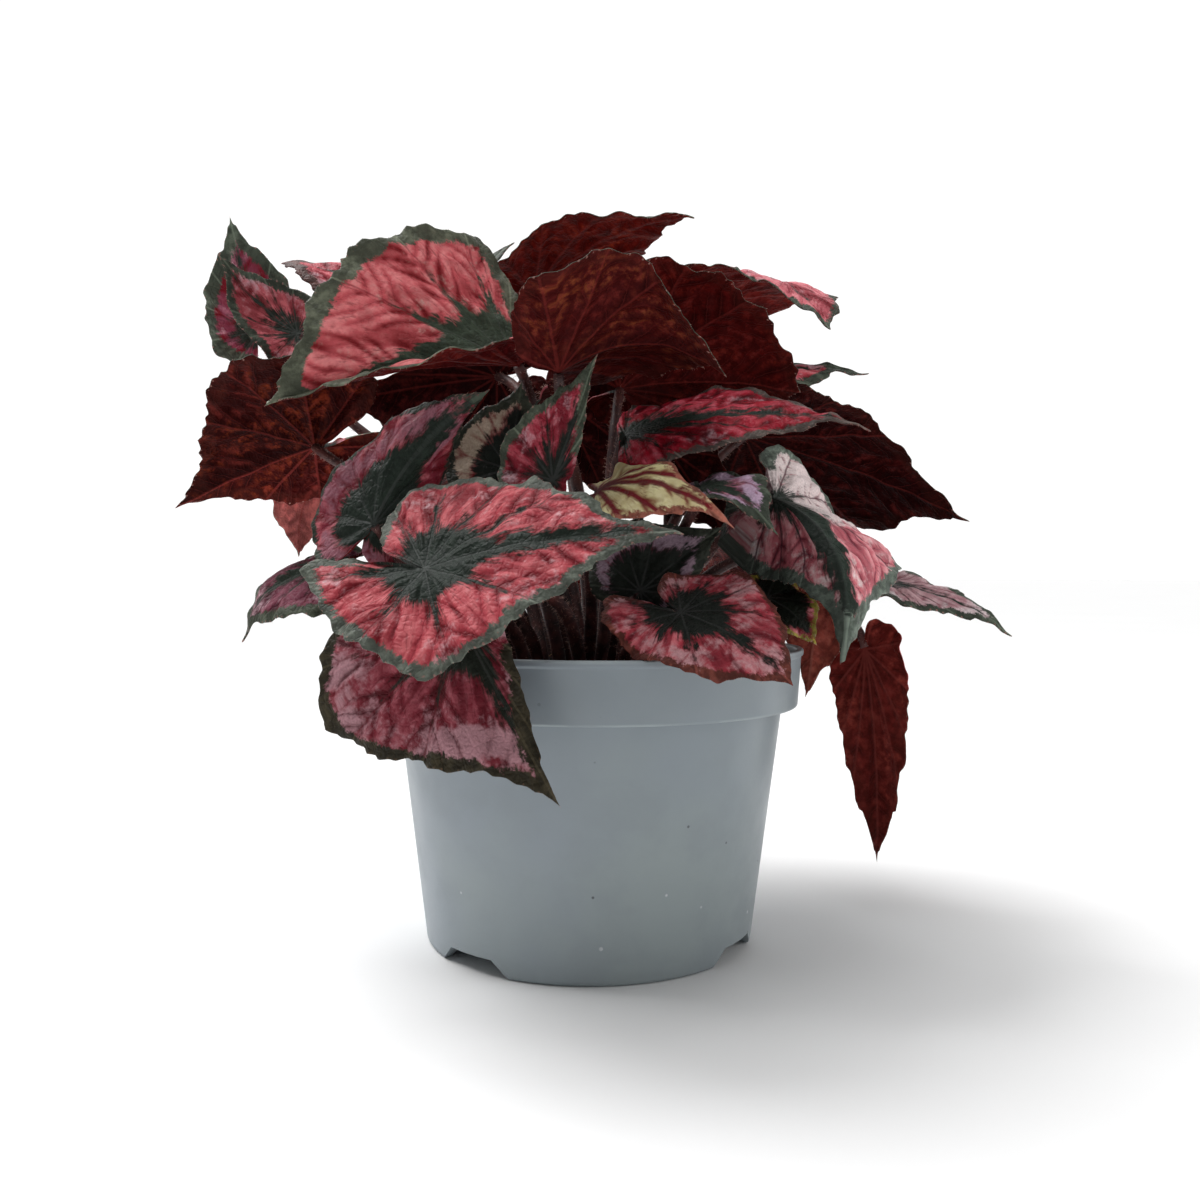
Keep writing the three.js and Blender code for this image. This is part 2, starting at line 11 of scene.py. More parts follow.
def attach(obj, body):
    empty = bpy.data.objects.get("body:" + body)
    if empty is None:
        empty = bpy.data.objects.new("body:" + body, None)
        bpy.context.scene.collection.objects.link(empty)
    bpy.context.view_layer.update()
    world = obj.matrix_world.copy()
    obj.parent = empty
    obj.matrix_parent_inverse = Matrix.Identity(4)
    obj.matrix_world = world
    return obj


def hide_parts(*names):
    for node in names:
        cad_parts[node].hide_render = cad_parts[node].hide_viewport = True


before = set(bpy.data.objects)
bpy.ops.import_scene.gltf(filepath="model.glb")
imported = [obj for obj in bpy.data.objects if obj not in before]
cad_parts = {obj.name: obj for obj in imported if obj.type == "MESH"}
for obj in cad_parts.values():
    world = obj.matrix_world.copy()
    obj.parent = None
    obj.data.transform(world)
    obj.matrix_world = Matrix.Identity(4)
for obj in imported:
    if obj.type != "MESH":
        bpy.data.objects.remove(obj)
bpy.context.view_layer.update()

MM = 0.001
RANDOM = np.random.default_rng(11)

# ---------------- sizes in millimetres, angles in degrees

POT_HEIGHT = 82
RIM_RADIUS = 60
COLLAR_HEIGHT = 15.8
COLLAR_TAPER = 1.5
COLLAR_STEP = 4.3
FOOT_RADIUS = 46.1
WALL = 1.4
LIP = 1.0
CORNER_ROUNDING = 0.6
FOOT_RING_WIDTH = 3.4
FLOOR_HEIGHT = 5
FLOOR_COVE = 2
GAP_ANGLES = (-41, 60, 190)
GAP_HEIGHT = 4.5
GAP_FOOT_WIDTH = 25
GAP_TOP_WIDTH = 15
GAP_CUT_DEPTH = 10
DRAIN_COUNT = 6
DRAIN_RADIUS = 4
DRAIN_CIRCLE = 26
DRAIN_SIDES = 32
POT_SIDES = 200
SHARP_ANGLE = 40
SOIL_TOP = 75
SOIL_UNEVENNESS = 1.2
SOIL_SIDES = 220
SOIL_RINGS = 56
CRUMB_COUNT = 620
FIBRE_COUNT = 130
FIBRE_STEPS = 9
FIBRE_SIDES = 6
CLEARANCE = 0.3

FLOOR_TOP = FLOOR_HEIGHT + WALL
COLLAR_BOTTOM = POT_HEIGHT - COLLAR_HEIGHT
COLLAR_RADIUS = RIM_RADIUS - COLLAR_TAPER
BODY_TOP_RADIUS = COLLAR_RADIUS - COLLAR_STEP
INNER_FOOT_RADIUS = FOOT_RADIUS - WALL

BLADE_THICKNESS = 0.55
EDGE_THINNING = 0.35
EDGE_WIDTH = 0.45
WAVE_HEIGHT = 1.2
WAVE_COUNT = 5
WAVE_PHASE_STEP = 2.4
COARSE_TEETH = 7
COARSE_TOOTH_DEPTH = 0.02
TOOTH_SPACING = 4.6
TOOTH_DEPTH = 0.9
TOOTH_PEAK = 0.68
MARGIN_STEP = 0.62
RING_STEP = 1.25
FULL_SIZE_LENGTH = 45
QUILT_HEIGHT = 1.3
SIDE_VEIN_SPACING = 5.4
SIDE_VEIN_SLOPE = 1.05
SIDE_VEIN_STAGGER = 2.1
SEAM_WIDTH = 4.5
TROUGH_WIDTH = 2.6
STAR_GLOW_REACH = 2.2
STAR_GLOW_WIDTH = 2.6
HAIR_RADIUS = 0.05
HAIR_ROOT_DEPTH = 0.1
MARGIN_HAIR_LENGTHS = (0.3, 0.8)
STALK_HAIR_LENGTHS = (0.7, 1.6)
STALK_HAIRS_PER_MM = 5
STALK_FOOT_RADIUS = 1.8
STALK_TOP_RADIUS = 1.35
STALK_SIDES = 14
STALK_RISE = 0.4
STALK_REACH = 0.35
STALK_LEAN = 0.25
STALK_ROOT_DEPTH = 11
STALK_ROOT_RISE = 4
JOINT_FROM_BELOW = 0.8
JOINT_FROM_BEHIND = 0.6
NOWHERE_NEAR = 1000

# One half of a blade seen flat, from the tip round to the notch at the stalk: a share of the blade's
# length, or of its back lobe where it is negative, and a share of its width.
HALF_OUTLINE = [
    (1, 0), (0.93, 0.045), (0.84, 0.14), (0.72, 0.34), (0.58, 0.58), (0.4, 0.82), (0.2, 0.96), (0, 1),
    (-0.35, 0.94), (-0.7, 0.77), (-0.93, 0.52), (-1, 0.3), (-0.82, 0.13), (-0.4, 0.05), (-0.14, 0.012),
]

# Where the main veins meet the margin, as shares of each half's outline from the tip to the notch.
VEIN_ENDS = (0.27, 0.44, 0.6, 0.76, 0.9)

# ---------------- floor, light and camera, in metres

FLOOR_REACH = 40

# A soft sun from the left and behind, lamps above and at the right, and a world that is brighter behind
# the plant.
SUN_STRENGTH = 2.7
SUN_SPREAD = 36
SUN_DIRECTION = (84, -46, -142)
OVERHEAD_POWER = 3.4
OVERHEAD_PLACE = (-0.12, -0.16, 1.0)
SIDE_POWER = 1.8
SIDE_PLACE = (0.9, -0.2, 0.4)
LAMP_SIZE = 0.7
LAMP_TARGET = (0, 0, 0.1)
WORLD_FRONT = 0.2
WORLD_BACK = 1.08
WORLD_EDGES = (0.25, 0.76)

# The camera as the pot's outline in the photograph gives it: its turns in radians, its focal length and
# the width of the picture in pixels.
CAMERA_PLACE = (0.0026, -0.320, 0.1022)
CAMERA_PITCH = -0.023
CAMERA_ROLL = 0.006
FOCAL_PIXELS = 1118.5
PHOTO_PIXELS = 1200
SENSOR_WIDTH = 36

# ---------------- the leaves, one by one

# How a blade and its stalk bend unless a leaf says otherwise. A pair is for the left and the right half,
# and handles are the two middle points of the stalk's curve.
BENDS = dict(shoulder=0, skew=0, arch=0, sweep=0, fold=(0, 0), cup=(10, 10), lift=10, twist=0, handles=None)

# How the dark star, the pink field, its silver and the margin are laid out, and the factor that brightens or
# darkens each half as painted light and shade. The two numbers of a spoke are for the midrib and for a side
# vein, the other pairs for the left and the right half.
LAYOUT = dict(
    margin=3.6, core_share=0.28, spoke=(3.4, 3.4), midrib_star=0.7, side_star=0.5, flecks=0.35,
    inner_flecks=0.3, silver_back=(0, 0), lines=0.12, line_width=0.35, tone=(1, 1),
)

# Of these colours, the orange glow of the underside is painted light shining through the blade, and the pale
# pink on the tops of the cushions is a painted highlight.
COLOURS = dict(
    pink=(190, 72, 84), deep=(108, 14, 26), light=(226, 122, 130), silver=(206, 172, 180),
    vein=(112, 22, 36), core=(36, 44, 38), band=(78, 86, 74), edge=(150, 112, 104), under=(66, 16, 16),
    glow=(118, 44, 30), under_vein=(122, 46, 42), under_margin=(70, 34, 28),
)
# Painted shade: darker underside and glow colours for the leaves deep inside the plant.
SHADED = dict(under=(44, 8, 10), glow=(72, 22, 18))


def leaf(name, joint, tip, top, width, lobe, root, **own):
    """One leaf: its stalk joint, its tip and the way its upper side faces, the width and the back lobe of
    its left and right half, its stalk's foot as an angle from the front and a radius, and its own traits."""
    placed = dict(name="leaf_" + name, joint=joint, tip=tip, top=top, width=width, lobe=lobe, root=root)
    return {**BENDS, **LAYOUT, **COLOURS, **placed, **own}


# In each row, the pair of factors that brighten or darken the two halves is painted light and shade.
LEAVES = [
    leaf("upper_left", (-19, -29, 156), (-78, -50, 142), (0, -16, 9), (15, 43), (1, 8), (-40, 10),
         shoulder=0.1, arch=0.08, fold=(-76, 0), cup=(10, -10), twist=-30, margin=4, core_share=0.4,
         spoke=(12, 6), midrib_star=0.6, side_star=0.55, flecks=0.1, inner_flecks=0.4, pink=(204, 92, 98),
         deep=(120, 20, 26), light=(232, 142, 142), silver=(206, 176, 166), core=(50, 60, 48),
         band=(98, 102, 86), under=(84, 18, 20)),
    leaf("top_centre", (-8, -43, 152), (32, -48, 150), (0, 7, 7), (20, 29), (4, 11), (-5, 5),
         shoulder=0.12, arch=0.33, fold=(-35, 0), lift=55, handles=((3, -18, 112), (-7, -38, 132)),
         tone=(0.75, 1.05), under=(72, 18, 18), glow=(132, 70, 40)),
    leaf("top_back", (-20, 55, 196), (30, 10, 208), (-1, 3, 8), (22, 22), (14, 14), (-160, 7), arch=0.1,
         under=(94, 18, 12), glow=(150, 58, 30)),
    leaf("top_right", (8, 6, 156), (59, 0, 154), (0, 7, 6), (12, 40), (10, 11), (95, 5), shoulder=0.22,
         arch=0.1, handles=((4, -2, 110), (5, -8, 138)), tone=(0.6, 1), under=(74, 14, 13),
         glow=(112, 36, 24)),
    leaf("back_pink_tip", (15, 60, 186), (74, 30, 179), (0, 6, 8), (34, 15), (12, 16), (160, 8),
         shoulder=0.16, arch=0.35, twist=60, margin=1.6, core_share=0.18, spoke=(3, 2),
         pink=(208, 108, 118), light=(228, 142, 148), under=(94, 22, 19)),
    leaf("right_dark", (47, 26, 145), (112, 10, 119), (2, 6, 7), (39, 29), (14, 22), (112, 12), arch=0.1,
         sweep=-0.06, tone=(0.8, 1.1), under=(46, 8, 8), glow=(86, 26, 24)),
    leaf("right_back", (40, 45, 158), (90, 50, 167), (0, -4, 8), (12, 18), (10, 14), (135, 12), arch=0.12,
         handles=((10, 26, 120), (20, 50, 144)), under=(84, 20, 18)),
    leaf("right_pink", (9, -22, 139), (72, -34, 141), (0, -5, 8), (22, 17), (3, 1), (38, 9), arch=0.07,
         cup=(10, 30), margin=1.6, core_share=0.3, spoke=(2.6, 2.2), midrib_star=0.9, flecks=0.15,
         tone=(0.85, 0.85), pink=(166, 20, 42), deep=(76, 4, 14), light=(214, 92, 108), core=(30, 38, 32),
         band=(104, 92, 86)),
    leaf("right_silver", (48, -28, 122), (61, -50, 81), (5, -6, 5), (42, 20), (22, 10), (58, 16),
         arch=0.22, fold=(0, 70), cup=(30, 20), lift=35, core_share=0.16, spoke=(5, 1.5), midrib_star=1.1,
         side_star=0.3, inner_flecks=0.45, silver_back=(0.95, 0), lines=0.5, tone=(1.2, 0.5),
         pink=(206, 112, 122), deep=(120, 40, 54), light=(230, 166, 170), silver=(236, 224, 222),
         vein=(84, 30, 48), band=(104, 114, 104)),
    leaf("centre_olive", (2, -37, 123), (34, -58, 113), (1, -8, 5), (9, 14), (5, 5), (12, 13), arch=0.2,
         cup=(10, 20), handles=((6, -20, 100), (6, -22, 114)), margin=1.2, core_share=0.03,
         spoke=(0.6, 0.3), side_star=0.2, flecks=0, inner_flecks=0, lines=0.85, line_width=1.2,
         tone=(1.15, 1.15), pink=(206, 196, 144), deep=(160, 132, 92), light=(222, 214, 172),
         vein=(112, 24, 34), core=(92, 30, 32), band=(140, 84, 70)),
    leaf("centre_silver", (28, -38, 124), (45, -55, 112), (1, -6, 6), (13, 7), (6, 6), (38, 14), arch=0.15,
         cup=(10, 20), margin=2.5, flecks=1.2, inner_flecks=1.2, silver_back=(0.8, 0.8),
         pink=(150, 92, 122), silver=(206, 178, 204), core=(44, 54, 46)),
    leaf("centre_low", (13, -34, 98), (34, -31, 114), (0, -8, 2), (18, 10), (10, 6), (24, 20), arch=0.1,
         margin=2.5, core_share=0.6, spoke=(4, 4), flecks=0.9, inner_flecks=1.2, pink=(96, 52, 66),
         deep=(44, 20, 28), light=(130, 84, 98), silver=(150, 128, 142), core=(18, 22, 18),
         band=(52, 56, 48)),
    leaf("front_left", (-35, -79, 103), (20, -88, 111), (0, -7, 7), (30, 27), (14, 29), (-6, 24),
         shoulder=-0.08, skew=-0.5, arch=0.06, cup=(10, 20), handles=((-6, -42, 104), (-14, -62, 97)),
         margin=2.4, core_share=0.39, spoke=(4, 3), midrib_star=0.95, side_star=0.6, flecks=0.3,
         tone=(0.88, 0.88), pink=(184, 70, 80), light=(216, 116, 120), silver=(222, 180, 186),
         core=(30, 38, 32), band=(104, 110, 100)),
    leaf("front_low", (-29, -65, 91), (-6, -75, 51), (-1, -8, 2), (8, 41), (5, 20), (-34, 30),
         shoulder=-0.08, arch=0.06, cup=(10, 30), margin=2.8, core_share=0.36, spoke=(2.5, 3),
         midrib_star=0.8, flecks=1.3, tone=(0.88, 0.88), pink=(124, 40, 52), deep=(74, 10, 20),
         light=(168, 86, 96), silver=(190, 142, 150), core=(30, 34, 28), band=(62, 56, 42),
         edge=(96, 76, 60)),
    leaf("front_rim", (22, -52, 93), (46, -68, 77), (0, -6, 6), (20, 16), (12, 20), (18, 28), shoulder=0.1,
         arch=0.1, cup=(10, 20), handles=((10, -34, 88), (17, -44, 86)), margin=1.7, core_share=0.46,
         spoke=(4, 4), side_star=0.6, flecks=0.5, inner_flecks=0.5, pink=(172, 60, 72), deep=(92, 16, 28),
         light=(210, 118, 126), silver=(196, 150, 154), core=(20, 24, 20), band=(108, 56, 48),
         edge=(120, 66, 56)),
    leaf("far_left_back", (-100, 15, 174), (-105, 5, 205), (1, -8, 3), (14, 14), (10, 10), (-112, 17),
         arch=0.05, margin=3.4, core_share=0.45, tone=(1.3, 1.3), pink=(126, 62, 82),
         light=(160, 96, 110)),
    leaf("far_left", (-84, 0, 170), (-103, -12, 189), (2, -7, 4), (14, 12), (8, 8), (-93, 13), arch=-0.1,
         cup=(-30, -30), handles=((-20, 22, 120), (-62, 26, 150)), margin=2.2, core_share=0.15,
         spoke=(2, 2), pink=(182, 86, 94), deep=(104, 20, 28)),
    leaf("left_back", (-60, 35, 183), (-100, 40, 201), (1, -5, 8), (18, 18), (12, 12), (-135, 13),
         shoulder=0.15, arch=0.1, margin=3.2, band=(96, 66, 62)),
    leaf("back_centre", (-48, 20, 176), (-24, 22, 203), (0, -6, 6), (14, 12), (8, 8), (-112, 7), arch=0.1,
         handles=((-14, 20, 120), (-44, 34, 150)), under=(84, 20, 18)),
    leaf("left_dark", (-79, 0, 138), (-122, 8, 120), (-1, 7, 6), (35, 18), (26, 20), (-84, 20),
         shoulder=-0.1, arch=0.05, cup=(20, 10), tone=(1.1, 2.2), under=(52, 11, 10), glow=(134, 56, 26)),
    leaf("left_lobe", (-85, 27, 135), (-88, 13, 106), (-5, 7, 3), (15, 14), (12, 12), (-100, 22), arch=0.1,
         tone=(1.7, 1.7), under=(184, 104, 100), glow=(190, 124, 116)),
    leaf("left_small", (-67, -20, 104), (-94, -16, 83), (-2, -5, 8), (20, 15), (8, 8), (-72, 26), arch=0.2,
         cup=(20, 20), margin=2.6, core_share=0.34, pink=(112, 48, 66), deep=(64, 22, 34),
         light=(142, 80, 96), core=(34, 42, 34), band=(78, 84, 70)),
    leaf("left_inner", (-52, -50, 114), (-24, -52, 146), (-3, -8, 3), (19, 18), (14, 8), (-50, 18),
         sweep=-0.1, fold=(0, 85), cup=(10, 5), margin=1.3, core_share=0.6, spoke=(6, 5), midrib_star=0.85,
         flecks=0.6, inner_flecks=0.6, tone=(0.8, 0.75), pink=(138, 46, 62), silver=(164, 108, 122),
         core=(30, 38, 32), band=(58, 66, 56), under=(110, 20, 24)),
    leaf("centre_dark", (-21, -31, 129), (-18, -30, 152), (0, -8, 3), (17, 13), (12, 12), (-32, 15),
         margin=2.6, core_share=0.55, spoke=(6, 5), flecks=1.0, inner_flecks=1.2, pink=(120, 70, 66),
         silver=(186, 170, 150), core=(20, 24, 20), band=(56, 60, 50)),
    leaf("centre_point", (-9, -47, 125), (2, -50, 155), (-2, -8, 2), (16, 4), (10, 6), (-8, 18),
         handles=((-8, -26, 100), (-12, -34, 114)), margin=2.2, core_share=0.25, spoke=(2.5, 2.5),
         pink=(150, 40, 56), deep=(70, 8, 18), light=(196, 96, 108), core=(26, 30, 26), band=(86, 94, 80)),
    leaf("right_hanging", (83, 18, 80), (86, 12, 17), (5, 7, 0), (12, 12), (9, 9), (108, 30),
         shoulder=0.12, arch=0.05, handles=((44, 20, 98), (80, 24, 100)), tone=(1.15, 1.15),
         under=(104, 34, 30), glow=(150, 66, 54), under_vein=(132, 62, 56)),
    leaf("right_under", (67, 8, 104), (64, 11, 66), (4, 7, 2), (15, 15), (8, 8), (84, 26), arch=0.05,
         under=(150, 70, 60), glow=(170, 92, 72), under_vein=(178, 110, 96)),
    leaf("right_low", (91, 28, 100), (123, 8, 84), (1, -4, 8), (12, 12), (8, 8), (100, 20), arch=0.08,
         handles=((30, 6, 118), (70, 20, 112)), margin=2.2, core_share=0.06, spoke=(1, 1), side_star=0.3,
         flecks=0.9, tone=(1.25, 1.25), pink=(190, 146, 152), deep=(132, 84, 92), light=(212, 176, 180),
         silver=(214, 198, 200)),
    leaf("right_inner", (48, -15, 96), (62, -20, 84), (1, -6, 6), (12, 12), (8, 8), (66, 24), arch=0.1,
         margin=1.2, core_share=0.85, spoke=(6, 6), pink=(120, 50, 56), core=(16, 20, 14),
         band=(150, 138, 60)),
    leaf("back_left", (-40, 60, 130), (-78, 92, 104), (-3, 5, 8), (28, 28), (18, 18), (-145, 20),
         arch=0.12, cup=(20, 20)),
    leaf("back_low", (4, 68, 108), (10, 98, 72), (0, 8, 6), (26, 26), (16, 16), (178, 26), arch=0.15,
         cup=(20, 20)),
    leaf("back_right", (42, 65, 112), (76, 95, 88), (3, 5, 8), (26, 26), (16, 16), (142, 22), arch=0.12,
         cup=(20, 20)),
    leaf("back_high", (-7, 62, 160), (6, 98, 146), (0, 3, 8), (23, 14), (18, 18), (-178, 15), arch=0.12,
         cup=(20, 20)),
    leaf("inner_dark", (-10, 22, 156), (5, 21, 124), (0, 8, 3), (18, 18), (10, 10), (-150, 16), arch=0.05,
         **SHADED),
    leaf("inner_right", (22, 8, 139), (41, 9, 112), (0, 8, 3), (13, 13), (8, 8), (126, 28), arch=0.05,
         handles=((22, 20, 100), (24, 17, 122)), **SHADED),
    leaf("left_shaded", (-28, 10, 160), (-76, 2, 150), (0, 7, 3), (9, 25), (12, 8), (-72, 8), arch=0.08,
         cup=(20, 20), **SHADED),
]

# ---------------- small helpers


def srgb(colour):
    """A colour of 0 to 255 as the linear light a material takes."""
    share = np.array(colour) / 255
    light = np.where(share < 0.04045, share / 12.92, ((share + 0.055) / 1.055) ** 2.4)
    return tuple(float(v) for v in light)


def shade(colour, factor):
    return [factor * v for v in colour]


def unit(v):
    v = np.asarray(v, float)
    return v / np.linalg.norm(v, axis=-1, keepdims=True)


def smooth(x, low, high):
    t = np.clip((x - low) / (high - low), 0, 1)
    return t * t * (3 - 2 * t)


def outward(angle):
    """A direction in the floor plane, by its angle from the front towards the right."""
    azimuth = math.radians(angle - 90)
    return np.array([math.cos(azimuth), math.sin(azimuth), 0])


def turn_about(v, axis, angle):
    """v turned about a unit axis; rows of v may each have their own angle."""
    angle = np.asarray(angle)[..., None]
    along_axis = axis * np.sum(axis * v, axis=-1, keepdims=True)
    return v * np.cos(angle) + np.cross(axis, v) * np.sin(angle) + along_axis * (1 - np.cos(angle))


def waves(points, scale, seed, octaves=2):
    """A smooth, repeatable unevenness of about -1 to 1, from crossed sine waves."""
    dice = np.random.default_rng(seed)
    total = np.zeros(len(points))
    size, weight, sum_of_weights = scale, 1.0, 0.0
    for _ in range(octaves):
        for _ in range(4):
            direction = unit(dice.normal(size=points.shape[1]))
            total += weight * np.sin(points @ direction * 2 * math.pi / size + dice.uniform(0, 6.3)) / 2
        sum_of_weights += weight
        size *= 0.5
        weight *= 0.55
    return total / sum_of_weights


def put(name, data):
    """A new object in the scene."""
    made = bpy.data.objects.new(name, data)
    bpy.context.scene.collection.objects.link(made)
    return made


class Shape:
    """Vertices and faces of one mesh as they are gathered, with a material number for each face."""

    def __init__(self):
        self.points, self.faces, self.materials, self.fields = [], [], [], {}
        self.count = 0

    def add(self, points, faces, material=0, **fields):
        for block in faces:
            self.add_faces(block + self.count, material)
        for name, values in fields.items():
            self.fields.setdefault(name, []).append((self.count, values))
        self.points.append(points)
        self.count += len(points)

    def add_faces(self, block, material):
        self.faces.append(block)
        self.materials.append(np.full(len(block), material, np.int32))

    def build(self, name, finishes, slot, *replaced):
        """The mesh as a piece that rides on the root, in place of the nodes it replaces; the slot is not
        used.
        """
        mesh = bpy.data.meshes.new(name)
        mesh.vertices.add(self.count)
        mesh.vertices.foreach_set("co", (np.concatenate(self.points) * MM).ravel())
        sides = np.concatenate([np.full(len(block), block.shape[1]) for block in self.faces])
        mesh.loops.add(int(sides.sum()))
        mesh.polygons.add(len(sides))
        mesh.polygons.foreach_set("loop_start", (np.cumsum(sides) - sides).astype(np.int32))
        corners = np.concatenate([block.ravel() for block in self.faces])
        mesh.polygons.foreach_set("vertices", corners.astype(np.int32))
        mesh.update(calc_edges=True)
        mesh.polygons.foreach_set("material_index", np.concatenate(self.materials))
        for field, parts in self.fields.items():
            values = np.zeros((self.count, 3))
            for start, rows in parts:
                values[start : start + len(rows)] = rows
            mesh.attributes.new(field, "FLOAT_VECTOR", "POINT").data.foreach_set("vector", values.ravel())
        for finish in finishes:
            mesh.materials.append(finish)
        mesh.shade_smooth()
        piece = put(name, mesh)
        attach(piece, "root")
        if replaced:
            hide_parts(*replaced)
        return piece


def ring_faces(rings, sides):
    """Quads between successive rings of a tube or lathe."""
    along, around = np.meshgrid(np.arange(rings - 1), np.arange(sides), indexing="ij")
    near = (along * sides + around).ravel()
    near_next = (along * sides + (around + 1) % sides).ravel()
    return np.stack([near, near_next, near_next + sides, near + sides], 1)


def closed_rings(rows, sides, first, last):
    """Rings of points, closed at the two ends by a fan round a point, with their quads and triangles."""
    body = len(rows)
    around = np.arange(sides)
    following = (around + 1) % sides
    start = body - sides
    fans = np.concatenate([
        np.stack([np.full(sides, body), following, around], 1),
        np.stack([np.full(sides, body + 1), start + around, start + following], 1),
    ])
    return np.concatenate([rows, [first, last]]), [ring_faces(body // sides, sides), fans]


def tube(points, radii, sides):
    """A closed tube through points: its points and its faces."""
    tangents = unit(np.gradient(points, axis=0))
    across = np.array([1.0, 0, 0])
    rows = []
    angles = np.arange(sides)[:, None] * 2 * math.pi / sides
    for point, tangent, radius in zip(points, tangents, radii):
        across = unit(across - tangent * (across @ tangent))
        other = np.cross(tangent, across)
        rows.append(point + radius * (np.cos(angles) * across + np.sin(angles) * other))
    return closed_rings(np.concatenate(rows), sides, points[0], points[-1])


def lathe(profile, sides):
    """A turned solid from a profile that starts and ends on the axis: its points and its faces."""
    inner = profile[1:-1]
    angles = np.arange(sides) * 2 * math.pi / sides
    level = np.repeat(inner[:, 1:], sides, 1)
    rows = np.stack([inner[:, :1] * np.cos(angles), inner[:, :1] * np.sin(angles), level], -1)
    return closed_rings(rows.reshape(-1, 3), sides, (0, 0, profile[0][1]), (0, 0, profile[-1][1]))


def face_outward(mesh):
    """Turn a closed mesh's faces to look outward."""
    work = bmesh.new()
    work.from_mesh(mesh)
    bmesh.ops.recalc_face_normals(work, faces=work.faces)
    work.to_mesh(mesh)
    work.free()
    mesh.update()


# ---------------- materials


class Nodes:
    """A short way of writing the nodes of a material or a world as sums."""

    def __init__(self, name, kind=bpy.data.materials):
        self.owner = kind.new(name)
        self.owner.use_nodes = True
        self.tree = self.owner.node_tree

    def put(self, socket, value):
        if isinstance(value, bpy.types.NodeSocket):
            self.tree.links.new(value, socket)
        elif hasattr(socket.default_value, "__len__"):
            socket.default_value = (*value, 1)[: len(socket.default_value)]
        else:
            socket.default_value = value

    def node(self, kind, inputs, **settings):
        """A new node with its settings, and with its inputs by their names or numbers."""
        made = self.tree.nodes.new("ShaderNode" + kind)
        for name, value in settings.items():
            setattr(made, name, value)
        for name, value in inputs.items():
            self.put(made.inputs[name], value)
        return made

    def set(self, **inputs):
        for name, value in inputs.items():
            self.put(self.tree.nodes["Principled BSDF"].inputs[name.replace("_", " ")], value)
        return self.owner

    def finish(self, colour, uneven, rough, bump, high=0.7, specular=0.5):
        """The material with a colour, a roughness between two values as a noise goes, and a bump."""
        return self.set(
            Base_Color=colour,
            Roughness=self.step(uneven, 0.3, high, *rough),
            Normal=self.bump(*bump),
            Specular_IOR_Level=specular,
        )

    def split(self, vector):
        return self.node("SeparateXYZ", {0: vector}).outputs[:3]

    def field(self, name):
        """The three numbers of a vertex field."""
        return self.split(self.vector(name))

    def vector(self, name):
        return self.node("Attribute", {}, attribute_name=name).outputs["Vector"]

    def place(self):
        return self.node("TexCoord", {}).outputs["Object"]

    def sum(self, operation, *values):
        return self.node("Math", dict(enumerate(values)), operation=operation).outputs[0]

    def times(self, first, second):
        return self.sum("MULTIPLY", first, second)

    def scaled(self, value, factor, plus):
        return self.sum("MULTIPLY_ADD", value, factor, plus)

    def step(self, value, low, high, out_low=0.0, out_high=1.0):
        """A smooth step from one value to another while the input goes from low to high."""
        inputs = {"Value": value, "From Min": low, "From Max": high, "To Min": out_low, "To Max": out_high}
        return self.node("MapRange", inputs, interpolation_type="SMOOTHSTEP").outputs[0]

    def noise(self, vector, scale, detail=3.0, roughness=0.55):
        inputs = dict(Vector=vector, Scale=scale, Detail=detail, Roughness=roughness)
        return self.node("TexNoise", inputs).outputs["Fac"]

    def cells(self, vector, scale, feature="F1"):
        return self.node("TexVoronoi", dict(Vector=vector, Scale=scale), feature=feature).outputs["Distance"]

    def mix(self, share, first, second, blend="MIX"):
        inputs = {"Factor": share, 6: first, 7: second}
        return self.node("Mix", inputs, data_type="RGBA", blend_type=blend).outputs[2]

    def layers(self, colour, *over):
        """A colour with others laid over it in turn, each by its own mask."""
        for mask, tint in over:
            colour = self.mix(mask, colour, tint)
        return colour

    def bump(self, height, strength, distance):
        return self.node("Bump", dict(Strength=strength, Distance=distance, Height=height)).outputs[0]


class BladeNodes(Nodes):
    """What both sides of a blade share: the blade's fields, its veins, its edge and its grain."""

    def __init__(self, name, leaf, side_vein_width):
        super().__init__(name)
        self.colours = leaf.colours
        self.flat = self.vector("flat")
        self.core, self.rim, self.silver = self.field("zones")
        self.across, chevron, self.along_vein = self.field("veins")
        self.folds, self.cushions, self.tone = self.field("relief")
        self.to_margin, _, seam = self.field("margin")
        wander = self.scaled(self.noise(self.flat, 0.5, 2), 1.6, -0.8)
        to_side_vein = self.sum("PINGPONG", self.sum("ADD", chevron, wander), SIDE_VEIN_SPACING / 2)
        self.main = self.step(self.across, 0.12, side_vein_width + 0.05, 1, 0)
        self.side = self.times(self.step(to_side_vein, 0.05, side_vein_width, 1, 0), seam)

    def finish_blade(self, colour, grain, fine, edge_share, roughest, specular):
        colour = self.mix(self.step(self.to_margin, 0.45, 0.15, 0, edge_share), colour, self.colours["edge"])
        # Painted light and shade: the colour times each half's brightness factor.
        colour = self.mix(1.0, colour, self.tone, "MULTIPLY")
        return self.finish(colour, fine, (0.42, roughest), (grain, 0.6, 0.0004), 0.75, specular)


